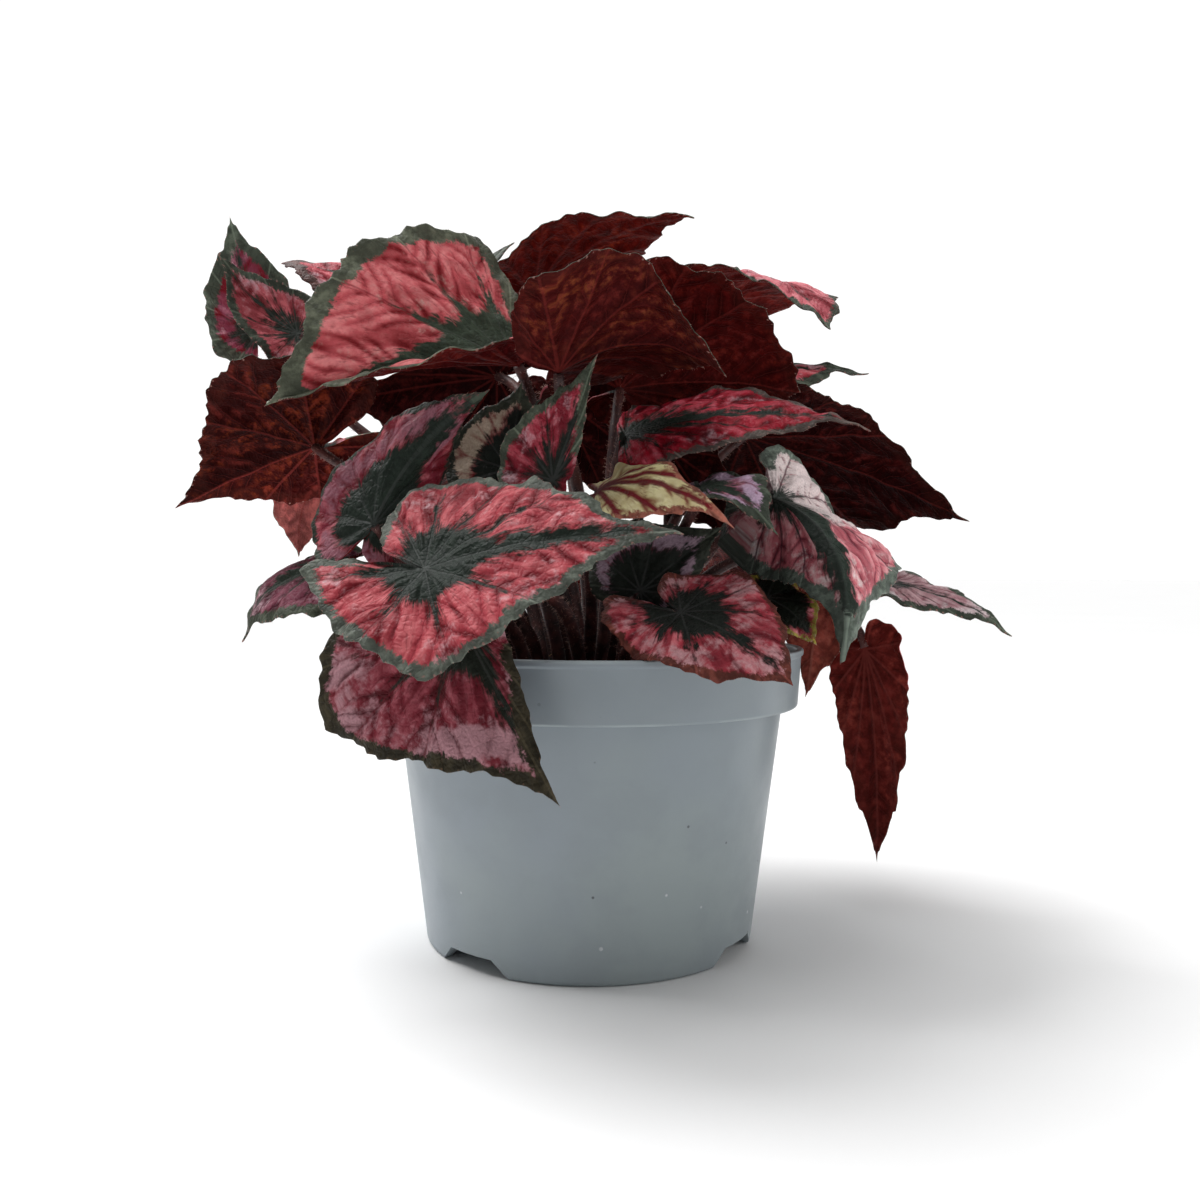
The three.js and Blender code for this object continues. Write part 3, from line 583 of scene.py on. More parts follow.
def upper_finish(leaf):
    """The painted upper side: a dark star, a pink or silver field and a grey-green margin, with painted shade
    in the creases and folds and a painted highlight on the cushions.
    """
    n = BladeNodes(leaf.name + "_upper", leaf, leaf.line_width)
    look, flat, cushions = n.colours, n.flat, n.cushions
    broad = n.noise(flat, 0.11)
    middle = n.noise(flat, 0.42, 4, 0.6)
    fine = n.noise(flat, 1.9, 4, 0.65)
    streak = n.noise(n.vector("polar"), 0.9, 4, 0.65)

    jagged = n.scaled(streak, 7.0, n.scaled(middle, 4.0, -5.5))
    jagged = n.scaled(cushions, -1.4, n.sum("ADD", jagged, 0.7))
    core_here = n.step(n.sum("ADD", n.core, jagged), -1.1, 1.1, 1, 0)
    ragged = n.scaled(fine, 2.4, n.scaled(jagged, 0.5, -1.2))
    band_here = n.step(n.sum("ADD", n.rim, ragged), -0.4, 0.5, 1, 0)

    # Painted shade in the creases between the cushions, and a painted highlight on their tops.
    painted_crease_shade = n.times(n.step(cushions, 0.75, 0.1), n.step(n.folds, 0.35, -0.35, 0.15, 1))
    painted_highlight = n.scaled(cushions, 0.4, n.times(middle, 0.7))
    patchy = n.scaled(middle, 1.5, n.scaled(streak, 0.7, -1.1))
    fleck = n.step(n.sum("ADD", n.silver, patchy), 0.3, 0.9, 0, 0.9)
    fleck = n.times(fleck, n.step(cushions, 0.05, 0.45, 0.25, 1))
    field = n.layers(
        look["pink"],
        (n.step(painted_highlight, 0.5, 0.85, 0, 0.85), look["light"]),
        (n.step(broad, 0.5, 0.64, 0, 0.4), look["deep"]),
        (n.step(streak, 0.5, 0.3, 0, 0.6), look["deep"]),
        (painted_crease_shade, look["deep"]),
        (n.times(n.side, leaf.lines), look["vein"]),
        (fleck, n.mix(n.step(fine, 0.35, 0.65), shade(look["silver"], 0.75), look["silver"])),
        (n.times(n.main, 0.25 + leaf.lines), look["vein"]),
    )
    core = n.layers(
        look["core"],
        (n.step(middle, 0.35, 0.7), shade(look["core"], 1.7)),
        (n.times(n.main, n.step(n.along_vein, 0.05, 0.6, 0.7, 0.2)), [v + 0.04 for v in look["core"]]),
    )
    band = n.layers(
        shade(look["band"], 0.5),
        (n.step(middle, 0.35, 0.7), shade(look["band"], 1.3)),
        # Painted shade: the margin band darker where it folds.
        (n.times(n.step(n.folds, 0.1, -0.4), 0.6), shade(look["band"], 0.4)),
        (n.times(n.main, 0.5), shade(look["band"], 2.2)),
    )
    colour = n.layers(field, (core_here, core), (band_here, band))
    net = n.step(n.cells(flat, 0.62, "DISTANCE_TO_EDGE"), 0.0, 0.28)
    grain = n.scaled(net, 0.6, n.times(fine, 0.7))
    grain = n.sum("SUBTRACT", grain, n.times(n.sum("MAXIMUM", n.side, n.main), 0.6))
    return n.finish_blade(colour, grain, fine, edge_share=0.85, roughest=0.6, specular=0.12)


def lower_finish(leaf):
    """The wine-red underside with raised paler veins, a painted glow of light shining through from the upper
    side, painted shade in the creases and painted highlights on the ridges.
    """
    n = BladeNodes(leaf.name + "_under", leaf, LAYOUT["line_width"])
    flat, cushions, across = n.flat, n.cushions, n.across
    under, vein = n.colours["under"], n.colours["under_vein"]
    broad = n.noise(flat, 0.09)
    middle = n.noise(flat, 0.38, 4, 0.6)
    fine = n.noise(flat, 1.5, 4, 0.65)
    # Painted glow: orange patches on the cushions where light shines through the blade.
    painted_glow_mask = n.times(n.step(n.scaled(fine, 0.5, middle), 0.68, 0.95), n.step(cushions, 0.2, 0.8))
    painted_glow_mask = n.times(painted_glow_mask, n.step(broad, 0.42, 0.62, 0.05, 0.6))
    # Painted shade in the creases and painted highlights on the ridges of the cushions.
    painted_crease_shade = n.times(n.step(cushions, 0.7, 0.1), n.step(n.folds, 0.4, -0.4, 0.3, 1))
    painted_ridge_highlight = n.times(n.step(cushions, 0.7, 1.0), n.step(middle, 0.4, 0.65))
    colour = n.layers(
        shade(under, 0.65),
        (n.step(middle, 0.35, 0.7), shade(under, 1.25)),
        (painted_glow_mask, n.colours["glow"]),
        (n.times(painted_crease_shade, 0.75), shade(under, 0.25)),
        (n.times(painted_ridge_highlight, 0.4), vein),
        (n.step(n.core, -2.5, 2.5, 0.5, 0), shade(under, 0.35)),
        (n.times(n.side, 0.16), vein),
        (n.times(n.step(across, 0.15, 0.5, 1, 0), 0.3), vein),
        (n.step(n.rim, -0.6, 0.4, 0.2, 0), n.colours["under_margin"]),
    )
    net = n.step(n.cells(flat, 0.62, "DISTANCE_TO_EDGE"), 0.0, 0.25, 1, 0)
    grain = n.scaled(net, 0.5, n.times(fine, 0.5))
    grain = n.scaled(n.sum("MAXIMUM", n.side, n.step(across, 0.2, 0.9, 1.6, 0)), 0.45, grain)
    return n.finish_blade(colour, grain, fine, edge_share=0.8, roughest=0.62, specular=0.03)


def stalk_finish():
    n = Nodes("stalk")
    place = n.place()
    speck = n.noise(place, 1500)
    # The stalk's own red-brown, darkened further as painted shade inside the plant.
    colour = n.layers(
        (0.026, 0.006, 0.006),
        (n.step(n.noise(place, 260), 0.35, 0.68), (0.09, 0.024, 0.02)),
        (n.step(speck, 0.6, 0.75, 0, 0.5), (0.24, 0.11, 0.085)),
    )
    return n.finish(colour, speck, (0.42, 0.6), (speck, 0.5, 0.0003))


def hair_finish():
    n = Nodes("hair")
    colour = n.mix(n.noise(n.place(), 400, 2), (0.36, 0.16, 0.13), (0.62, 0.42, 0.34))
    return n.set(Base_Color=colour, Roughness=0.45)


def soil_finish():
    n = Nodes("soil")
    place = n.place()
    lumps = n.noise(place, 260, 5, 0.65)
    grains = n.noise(place, 1300, 4, 0.7)
    colour = n.layers(
        (0.006, 0.004, 0.003),
        (n.step(lumps, 0.35, 0.68), (0.034, 0.021, 0.014)),
        (n.step(grains, 0.58, 0.72, 0, 0.6), (0.10, 0.062, 0.036)),
    )
    height = n.scaled(grains, 0.6, n.scaled(n.cells(place, 420), -0.6, lumps))
    return n.finish(colour, grains, (0.7, 0.97), (height, 1.0, 0.0012))


def crumb_finish():
    n = Nodes("soil_crumb")
    place = n.place()
    kind = n.noise(place, 330, 1)
    grains = n.noise(place, 1900, 4, 0.7)
    colour = n.layers(
        (0.010, 0.006, 0.004),
        (n.step(kind, 0.35, 0.62), (0.055, 0.031, 0.018)),
        (n.step(kind, 0.66, 0.72), (0.16, 0.10, 0.055)),
        (n.step(grains, 0.55, 0.75, 0, 0.5), (0.085, 0.055, 0.035)),
    )
    return n.finish(colour, grains, (0.75, 0.98), (grains, 0.8, 0.0006))


def fibre_finish():
    n = Nodes("soil_fibre")
    streak = n.noise(n.place(), 700)
    colour = n.mix(n.step(streak, 0.35, 0.68), (0.13, 0.075, 0.035), (0.42, 0.28, 0.15))
    return n.finish(colour, streak, (0.6, 0.85), (streak, 0.4, 0.0003))


def pot_finish():
    """Satin grey-blue moulded plastic with sparse specks, faint turning marks, worn edges with a painted
    highlight line, and painted shade darker towards the rim.
    """
    n = Nodes("pot_plastic")
    place = n.place()
    cloud = n.noise(place, 70, 4)
    pale = n.times(n.step(n.cells(place, 95), 0.035, 0.06, 1, 0), n.step(n.noise(place, 31, 1), 0.55, 0.6))
    dark = n.times(n.step(n.cells(place, 130), 0.04, 0.07, 1, 0), n.step(n.noise(place, 23, 1), 0.5, 0.56))
    level = n.split(place)[2]
    top = POT_HEIGHT * MM
    # Worn edges with a painted highlight: thin paler lines along the rim's top and the collar's lower edge.
    edges = ((POT_HEIGHT - 0.2, 0.0009), (COLLAR_BOTTOM + 0.15, 0.0007))
    edge_wear_and_highlight = n.sum("MAXIMUM", *[
        n.step(n.sum("ABSOLUTE", n.sum("SUBTRACT", level, height * MM)), 0.0001, half, 1, 0)
        for height, half in edges
    ])
    colour = n.layers(
        (0.29, 0.335, 0.375),
        (n.step(n.noise(place, 14), 0.35, 0.65), (0.32, 0.37, 0.38)),
        (n.step(cloud, 0.4, 0.7, 0, 0.5), (0.27, 0.31, 0.335)),
        (n.times(pale, 0.8), (0.72, 0.74, 0.75)),
        (n.times(dark, 0.75), (0.03, 0.03, 0.03)),
        # Painted shade: the plastic darker towards the rim, where the leaves above shade the collar.
        (n.step(level, 0.3 * top, top, 0, 0.75), (0.20, 0.235, 0.26)),
        (n.times(edge_wear_and_highlight, n.step(cloud, 0.3, 0.6, 0.25, 0.8)), (0.36, 0.41, 0.43)),
    )
    rings = n.noise(n.node("Mapping", dict(Vector=place, Scale=(1, 1, 28))).outputs[0], 45)
    height = n.scaled(rings, 0.35, n.scaled(n.noise(place, 900), 0.4, n.times(dark, -1.0)))
    return n.finish(colour, cloud, (0.34, 0.46), (height, 0.22, 0.0003))


def floor_finish():
    n = Nodes("floor")
    colour = n.mix(n.noise(n.place(), 3, 2), (0.9, 0.9, 0.9), (0.93, 0.93, 0.93))
    return n.set(Base_Color=colour, Roughness=0.85)


# ---------------- leaves


def smooth_curve(controls, count):
    """Points evenly spaced along a smooth curve through the controls, and the curve's length."""
    controls = np.asarray(controls, float)
    last = len(controls) - 1
    rows = []
    t = np.linspace(0, 1, 24, endpoint=False)[:, None]
    for i in range(last):
        p0, p1 = controls[max(i - 1, 0)], controls[i]
        p2, p3 = controls[i + 1], controls[min(i + 2, last)]
        v0, v1 = (p2 - p0) / 2, (p3 - p1) / 2
        rows.append(
            (2 * p1 - 2 * p2 + v0 + v1) * t**3 + (-3 * p1 + 3 * p2 - 2 * v0 - v1) * t**2 + v0 * t + p1
        )
    dense = np.concatenate([*rows, controls[-1:]])
    run = np.concatenate([[0], np.cumsum(np.linalg.norm(np.diff(dense, axis=0), axis=1))])
    at = np.linspace(0, run[-1], count + 1)
    return np.stack([np.interp(at, run, axis) for axis in dense.T], 1), run[-1]


def by_half(flat, pair):
    """The left or the right one of a pair, by the half of the blade that each flat place is on."""
    return np.where(flat[:, 1] < 0, *pair)


class Leaf:
    """One leaf's own frame, outline, blade surface and stalk, from its row in the table."""

    def __init__(self, index, row):
        self.__dict__.update(row)
        self.colours = {name: srgb(row[name]) for name in COLOURS}
        self.phase = WAVE_PHASE_STEP * index
        self.seed = 100 + index
        self.origin = np.array(self.joint, float)
        chord = np.array(self.tip, float) - self.origin
        self.length = np.linalg.norm(chord)
        self.smallness = min(1, self.length / FULL_SIZE_LENGTH)
        self.along = chord / self.length
        up = np.array(self.top, float)
        self.up = unit(up - self.along * (up @ self.along))
        self.right = np.cross(self.along, self.up)

    def midrib(self, share):
        """Places on the midrib with the normal and the direction to the right there."""
        share = np.asarray(share, float)
        ahead = np.maximum(share, 0)[:, None]
        bow, slope = 4 * ahead * (1 - ahead), 4 * (1 - 2 * ahead)
        aside = self.arch * self.up + self.sweep * self.right
        place = self.origin + ahead * self.length * self.along + self.length * bow * aside
        tangent = unit(self.along + slope * aside)
        normal = unit(self.up - tangent * (tangent @ self.up)[:, None])
        turn = np.where(share < 0, -math.radians(self.lift), 0)
        axis = np.cross(tangent, normal)
        tangent, normal = turn_about(tangent, axis, turn), turn_about(normal, axis, turn)
        place = place + np.minimum(share, 0)[:, None] * self.length * tangent
        normal = turn_about(normal, tangent, np.radians(self.twist) * ahead[:, 0])
        return place, normal, np.cross(tangent, normal)

    def surface(self, flat, ring, offset):
        """Points of the blade over flat places, raised from its middle surface by offset."""
        sign = by_half(flat, (-1, 1))[:, None]
        place, normal, side = self.midrib(flat[:, 0] / self.length)
        fold = np.radians(by_half(flat, self.fold).astype(float))
        bend = by_half(flat, np.radians(np.array(self.cup, float)) / np.array(self.width, float))
        angle = fold + bend * np.abs(flat[:, 1])
        out = ((np.sin(angle) - np.sin(fold)) / bend)[:, None]
        drop = ((np.cos(fold) - np.cos(angle)) / bend)[:, None]
        facing = normal * np.cos(angle)[:, None] + side * sign * np.sin(angle)[:, None]
        around = np.arctan2(flat[:, 1], flat[:, 0])
        ripple = WAVE_HEIGHT * ring**2 * np.sin(WAVE_COUNT * around + self.phase)
        return place + side * sign * out - normal * drop + facing * (ripple + offset)[:, None]

    def half_outline(self, half):
        """The smooth outline of one half, and how far its teeth stand out at each point."""
        controls = []
        for forward, sideways in HALF_OUTLINE:
            moved = forward + 4 * self.shoulder * forward * (1 - forward)
            x = moved * self.length if forward > 0 else forward * self.lobe[half]
            controls.append((x, (1 if half else -1) * sideways * self.width[half]))
        _, run = smooth_curve(controls, 8)
        count = max(60, round(run / MARGIN_STEP))
        outline, _ = smooth_curve(controls, count)
        share = np.linspace(0, 1, count + 1)
        lobes = -np.cos(2 * math.pi * COARSE_TEETH * share) * COARSE_TOOTH_DEPTH
        teeth = max(6, round(run / TOOTH_SPACING))
        at = share * teeth + 0.25 * np.sin(share * 17 + self.phase)
        within = at % 1
        dice = np.random.default_rng(self.seed * 2 + half)
        height = dice.uniform(0.55, 1.15, teeth + 3)[np.clip(at.astype(int) + 1, 0, teeth + 2)]
        rise, fall = within / TOOTH_PEAK, (1 - within) / (1 - TOOTH_PEAK)
        saw = np.where(within < TOOTH_PEAK, rise**1.4, fall**0.8)
        plain = smooth(share, 0, 0.05) * smooth(1 - share, 0.02, 0.16)
        size = np.linalg.norm(outline, axis=1)
        reach = (lobes * size + TOOTH_DEPTH * self.smallness * (height * saw - 0.45)) * plain
        outline_out = outline / np.maximum(size, 1e-6)[:, None] * reach[:, None]
        outline[:, 1] -= self.skew * np.minimum(outline[:, 0], 0)
        return outline, outline_out

    def veins(self, flat, right, left):
        """Over flat places: the nearest main vein's number, the way across to it and the way along it in
        millimetres and as a share, and a seam that falls to 0 halfway to the next vein."""
        ends = [right[0]] + [half[round(e * (len(half) - 1))] for half in (right, left) for e in VEIN_ENDS]
        rays = unit(np.array(ends))
        across = np.abs(flat[:, :1] * rays[:, 1] - flat[:, 1:] * rays[:, 0])
        forward = flat @ rays.T
        apart = np.where(forward > 0, across, NOWHERE_NEAR)
        nearest, closest = apart.argmin(1), apart.min(1)
        seam = smooth(np.partition(apart, 1, axis=1)[:, 1] - closest, 0.2, SEAM_WIDTH)
        forward = np.maximum(forward[np.arange(len(flat)), nearest], 0)
        spans = np.linalg.norm(np.array(ends), axis=1)
        return nearest, np.where(closest < NOWHERE_NEAR, closest, 0), forward, forward / spans[nearest], seam

    def zones(self, flat, share, reach, to_margin, nearest, across, along_vein):
        """How far each place is outside the dark star and inside the margin band, and how silvery it is."""
        on_midrib = nearest == 0
        star = np.where(on_midrib, self.midrib_star, self.side_star)
        spoke = np.where(on_midrib, *self.spoke) * np.clip(1.15 - along_vein / star, -1, 1)
        core = np.minimum((share - self.core_share) * reach, across - spoke)
        rim = to_margin - self.margin * (1 + 0.25 * waves(flat, 18, self.seed + 3))
        patches = 0.3 + 0.7 * smooth(waves(flat, 26, self.seed), -0.15, 0.75)
        silver = self.flecks * patches * smooth(share, 0.5, 0.8)
        silver += by_half(flat, self.silver_back) * (1 - smooth(flat[:, 0] / self.length, 0.05, 0.3))
        near_star = np.exp(-(((core - STAR_GLOW_REACH) / STAR_GLOW_WIDTH) ** 2))
        patches = 0.4 + 0.6 * smooth(waves(flat, 19, self.seed + 5), -0.3, 0.6)
        return np.column_stack([core, rim, silver + self.inner_flecks * near_star * patches])

    def relief(self, flat, polar, share, across, chevron, seam):
        """The folds and the cushions between the side veins, and the height that they give the blade."""
        folds = waves(polar, 8, self.seed + 21)
        cushions = np.abs(np.sin(math.pi * chevron / SIDE_VEIN_SPACING)) ** 0.8
        cushions = cushions * seam + 0.85 * (1 - seam)
        cushions = np.clip(cushions * (0.55 + 0.45 * smooth(folds, -0.5, 0.1)), 0, 1)
        swell = 0.75 + 0.3 * waves(flat, 15, self.seed + 11)
        quilt = QUILT_HEIGHT * swell * (0.15 + 0.85 * cushions) * smooth(across, 0, TROUGH_WIDTH)
        quilt *= smooth(share, 0.03, 0.3) * (1 - 0.7 * smooth(share, 0.82, 1.0))
        quilt *= self.smallness
        uneven = 0.5 * waves(flat, 12, self.seed + 7) * smooth(share, 0.1, 0.5)
        frill = 0.75 * share**6 * waves(flat, 15, self.seed + 13)
        return folds, cushions, quilt + uneven + frill

    def blade(self, shape):
        """Add the blade to a shape: rings from the joint to the toothed margin, on both sides."""
        right, right_out = self.half_outline(1)
        left, left_out = self.half_outline(0)
        outline = np.concatenate([right, left[:0:-1]])
        teeth = np.concatenate([right_out, left_out[:0:-1]])
        count = len(outline)
        reach = np.linalg.norm(outline, axis=1)
        rings = int(np.clip(round(np.percentile(reach, 80) / RING_STEP), 12, 38))
        shares = np.append(np.linspace(0, 1, rings + 1)[1:-1], [1 - EDGE_WIDTH / reach.max(), 1])
        share = np.repeat(shares, count)
        flat = np.tile(outline, (len(shares), 1)) * share[:, None]
        flat += np.tile(teeth, (len(shares), 1)) * (share**5)[:, None]
        flat = np.concatenate([[(0, 0)], flat])
        share = np.concatenate([[0], share])

        nearest, across, forward, along_vein, seam = self.veins(flat, right, left)
        chevron = forward - SIDE_VEIN_SLOPE * across + SIDE_VEIN_STAGGER * nearest
        chevron = chevron + 1.1 * waves(flat, 17, self.seed + 9) + 0.9 * np.sin(0.33 * forward + self.phase)
        outer = outline[reach > 0.3 * reach.max()]
        to_margin = np.sqrt(((flat[:, None, :] - outer[None, ::3, :]) ** 2).sum(-1).min(1))
        reach = np.concatenate([[1], np.tile(reach, len(shares))])
        turned = np.arctan2(flat[:, 1], flat[:, 0]) * min(30, 0.6 * self.length)
        apart = np.ones(len(flat)) * self.seed
        polar = np.column_stack([turned, 0.22 * np.linalg.norm(flat, axis=1), 5.3 * apart])
        folds, cushions, height = self.relief(flat, polar, share, across, chevron, seam)
        fields = {
            "flat": np.column_stack([flat, 3.7 * apart]),
            "polar": polar,
            "zones": self.zones(flat, share, reach, to_margin, nearest, across, along_vein),
            "veins": np.column_stack([across, chevron, along_vein]),
            "margin": np.column_stack([to_margin, share, seam]),
            # The third number is each half's factor of painted light and shade.
            "relief": np.column_stack([folds, cushions, by_half(flat, self.tone)]),
        }

        half_thickness = BLADE_THICKNESS / 2 * np.where(share > 0.999, EDGE_THINNING, 1.0)
        top = self.surface(flat, share, height + half_thickness)
        under = self.surface(flat, share, height - half_thickness)
        around = np.arange(count)
        following = (around + 1) % count
        fan = np.stack([np.zeros(count, int), 1 + following, 1 + around], 1)
        quads = ring_faces(len(shares), count) + 1
        edge = len(flat) - count
        a, b = shape.count + edge + around, shape.count + edge + following
        shape.add(top, [fan, quads], 0, **fields)
        shape.add(under, [fan[:, ::-1], quads[:, ::-1]], 1, **fields)
        shape.add_faces(np.stack([a, b, b + len(flat), a + len(flat)], 1), 0)
        margin_points = (top[edge:] + under[edge:]) / 2
        return margin_points, unit(top[edge - count : edge] - margin_points)

    def stalk_line(self, steps=36):
        """The middle of the stalk: two points in the soil, then a smooth curve to the joint."""
        angle, radius = self.root
        foot, lean = outward(angle) * radius, outward(angle) * STALK_LEAN
        bottom = foot - lean * STALK_ROOT_DEPTH + [0, 0, SOIL_TOP - STALK_ROOT_DEPTH]
        start = foot + lean * STALK_ROOT_RISE + [0, 0, SOIL_TOP + STALK_ROOT_RISE]
        if self.handles:
            near, far = np.array(self.handles, float)
            end = self.origin - unit(self.origin - far) * 0.5
        else:
            normal = self.midrib([0.0])[1][0]
            arrival = unit(JOINT_FROM_BELOW * normal + JOINT_FROM_BEHIND * self.along)
            end = self.origin - arrival * 0.5
            span = np.linalg.norm(end - start)
            near = start + unit(start - bottom) * STALK_RISE * span
            far = end - arrival * STALK_REACH * span
        t = np.linspace(0, 1, steps)[:, None]
        curve = (1 - t) ** 3 * start + 3 * (1 - t) ** 2 * t * near + 3 * (1 - t) * t**2 * far + t**3 * end
        return np.concatenate([[bottom, (bottom + start) / 2], curve])

    def stalk(self, shape):
        """Add the stalk to a shape."""
        line = self.stalk_line()
        run = np.linspace(0, 1, len(line))
        radii = STALK_FOOT_RADIUS + (STALK_TOP_RADIUS - STALK_FOOT_RADIUS) * smooth(run, 0, 1)
        radii = radii * (1 + 0.05 * np.sin(run * 40 + self.phase))
        shape.add(*tube(line, radii, STALK_SIDES), 2)
        return line, radii


def add_hairs(shape, roots, directions, lengths):
    """Fine three-sided hairs, each a slim pyramid."""
    directions = unit(directions)
    helper = np.where(np.abs(directions[:, 2:]) < 0.9, [[0, 0, 1.0]], [[1.0, 0, 0]])
    across = unit(np.cross(directions, helper))
    other = np.cross(directions, across)
    corners = [roots + HAIR_RADIUS * (math.cos(a) * across + math.sin(a) * other) for a in (0, 2.094, 4.189)]
    points = np.stack([*corners, roots + directions * lengths[:, None]], 1).reshape(-1, 3)
    base = np.arange(len(roots))[:, None] * 4
    shape.add(points, [base + sides for sides in ([0, 1, 3], [1, 2, 3], [2, 0, 3], [0, 2, 1])], 3)


def build_leaf(index, row, stalk_material, hair_material):
    leaf = Leaf(index, row)
    shape = Shape()
    margin, inward = leaf.blade(shape)
    line, radii = leaf.stalk(shape)

    dice = np.random.default_rng(leaf.seed)
    picked = dice.choice(len(margin), min(len(margin) - 1, len(margin) // 2), replace=False)
    out = dice.normal(size=(len(picked), 3)) * 0.5 - inward[picked]
    lengths = dice.uniform(*MARGIN_HAIR_LENGTHS, len(picked))
    add_hairs(shape, margin[picked] + inward[picked] * HAIR_ROOT_DEPTH, out, lengths)
    number = int(np.linalg.norm(np.diff(line, axis=0), axis=1).sum() * STALK_HAIRS_PER_MM)
    at = dice.uniform(3, len(line) - 1.01, number)
    low = at.astype(int)
    ahead = line[low + 1] - line[low]
    tangent = unit(ahead)
    out = unit(np.cross(tangent, dice.normal(size=(number, 3))))
    roots = line[low] + ahead * (at - low)[:, None] + out * (radii[low] * 0.9)[:, None]
    add_hairs(shape, roots, out + tangent * 0.25, dice.uniform(*STALK_HAIR_LENGTHS, number))

    finishes = [upper_finish(leaf), lower_finish(leaf), stalk_material, hair_material]
    shape.build(leaf.name + "_fine", finishes, "leaf", leaf.name)


# ---------------- pot


def rounded(profile, radius, steps=4):
    """A profile with each corner replaced by a small arc, as far as its third number asks."""
    rows = []
    for i, (r, z, soft) in enumerate(profile):
        here = np.array([r, z], float)
        if not soft:
            rows.append(here)
            continue
        before, after = np.array(profile[i - 1][:2], float), np.array(profile[i + 1][:2], float)
        cut = min(radius * soft, np.linalg.norm(before - here) * 0.45, np.linalg.norm(after - here) * 0.45)
        a, b = here + unit(before - here) * cut, here + unit(after - here) * cut
        for t in np.linspace(0, 1, steps + 1):
            rows.append((1 - t) ** 2 * a + 2 * (1 - t) * t * here + t**2 * b)
    return np.array(rows)


def cutter(points, faces):
    mesh = bpy.data.meshes.new("cutter")
    mesh.from_pydata([tuple(p) for p in np.asarray(points) * MM], [], [tuple(f) for f in faces])
    face_outward(mesh)
    return put("cutter", mesh)


def gap_cutter(angle):
    """A wedge that cuts one water gap through the foot ring."""
    across, out = outward(angle + 90), outward(angle)
    section = [
        (-GAP_FOOT_WIDTH / 2 - 1, -1), (GAP_FOOT_WIDTH / 2 + 1, -1),
        (GAP_TOP_WIDTH / 2, GAP_HEIGHT), (-GAP_TOP_WIDTH / 2, GAP_HEIGHT),
    ]
    corners = [
        across * x + out * distance + np.array([0, 0, z])
        for distance in (FOOT_RADIUS - GAP_CUT_DEPTH, FOOT_RADIUS + GAP_CUT_DEPTH) for x, z in section
    ]
    sides = [(i, i + 4, (i + 1) % 4 + 4, (i + 1) % 4) for i in range(4)]
    return cutter(corners, [(0, 1, 2, 3), (7, 6, 5, 4), *sides])


def drain_cutter(angle):
    centre = outward(angle) * DRAIN_CIRCLE
    levels = [centre + [0, 0, level] for level in (0, FLOOR_TOP, 2 * FLOOR_TOP)]
    points, (sides, ends) = tube(levels, [DRAIN_RADIUS] * 3, DRAIN_SIDES)
    return cutter(points, [*sides, *ends])


def build_pot():
    inner_ring = FOOT_RADIUS - FOOT_RING_WIDTH
    profile = rounded([
        (0, FLOOR_HEIGHT, 0),
        (inner_ring, FLOOR_HEIGHT, 1),
        (inner_ring, 0, 0.6),
        (FOOT_RADIUS - 0.2, 0, 2.2),
        (BODY_TOP_RADIUS, COLLAR_BOTTOM, 0.6),
        (COLLAR_RADIUS, COLLAR_BOTTOM, 1),
        (RIM_RADIUS - LIP * 0.6, POT_HEIGHT - LIP * 2, 0.6),
        (RIM_RADIUS, POT_HEIGHT - LIP * 1.6, 0.6),
        (RIM_RADIUS, POT_HEIGHT, 1),
        (RIM_RADIUS - LIP * 2, POT_HEIGHT, 1),
        (COLLAR_RADIUS - WALL, COLLAR_BOTTOM + WALL, 1),
        (BODY_TOP_RADIUS - WALL, COLLAR_BOTTOM - WALL, 1),
        (INNER_FOOT_RADIUS, FLOOR_TOP + FLOOR_COVE, 1.5),
        (INNER_FOOT_RADIUS - FLOOR_COVE, FLOOR_TOP, 1.5),
        (0, FLOOR_TOP, 0),
    ], CORNER_ROUNDING)
    shape = Shape()
    shape.add(*lathe(profile, POT_SIDES))
    pot = shape.build("pot_fine", [pot_finish()], "pot", "pot")
    face_outward(pot.data)
    cutters = [gap_cutter(angle) for angle in GAP_ANGLES]
    cutters += [drain_cutter(i * 360 / DRAIN_COUNT) for i in range(DRAIN_COUNT)]
    for piece in cutters:
        cut = pot.modifiers.new("cut", "BOOLEAN")
        cut.operation, cut.solver, cut.object = "DIFFERENCE", "EXACT", piece
    bpy.context.view_layer.update()
    evaluated = pot.evaluated_get(bpy.context.evaluated_depsgraph_get())
    pot.data = bpy.data.meshes.new_from_object(evaluated)
    pot.modifiers.clear()
    for piece in cutters:
        bpy.data.objects.remove(piece)
    pot.data.shade_smooth()
    pot.data.set_sharp_from_angle(angle=math.radians(SHARP_ANGLE))


# ---------------- soil


def soil_height(x, y):
    lumps = np.sin(0.31 * x + 1.3) * np.cos(0.27 * y - 0.6) + 0.5 * np.sin(0.53 * x - 0.47 * y)
    return SOIL_TOP + SOIL_UNEVENNESS * lumps


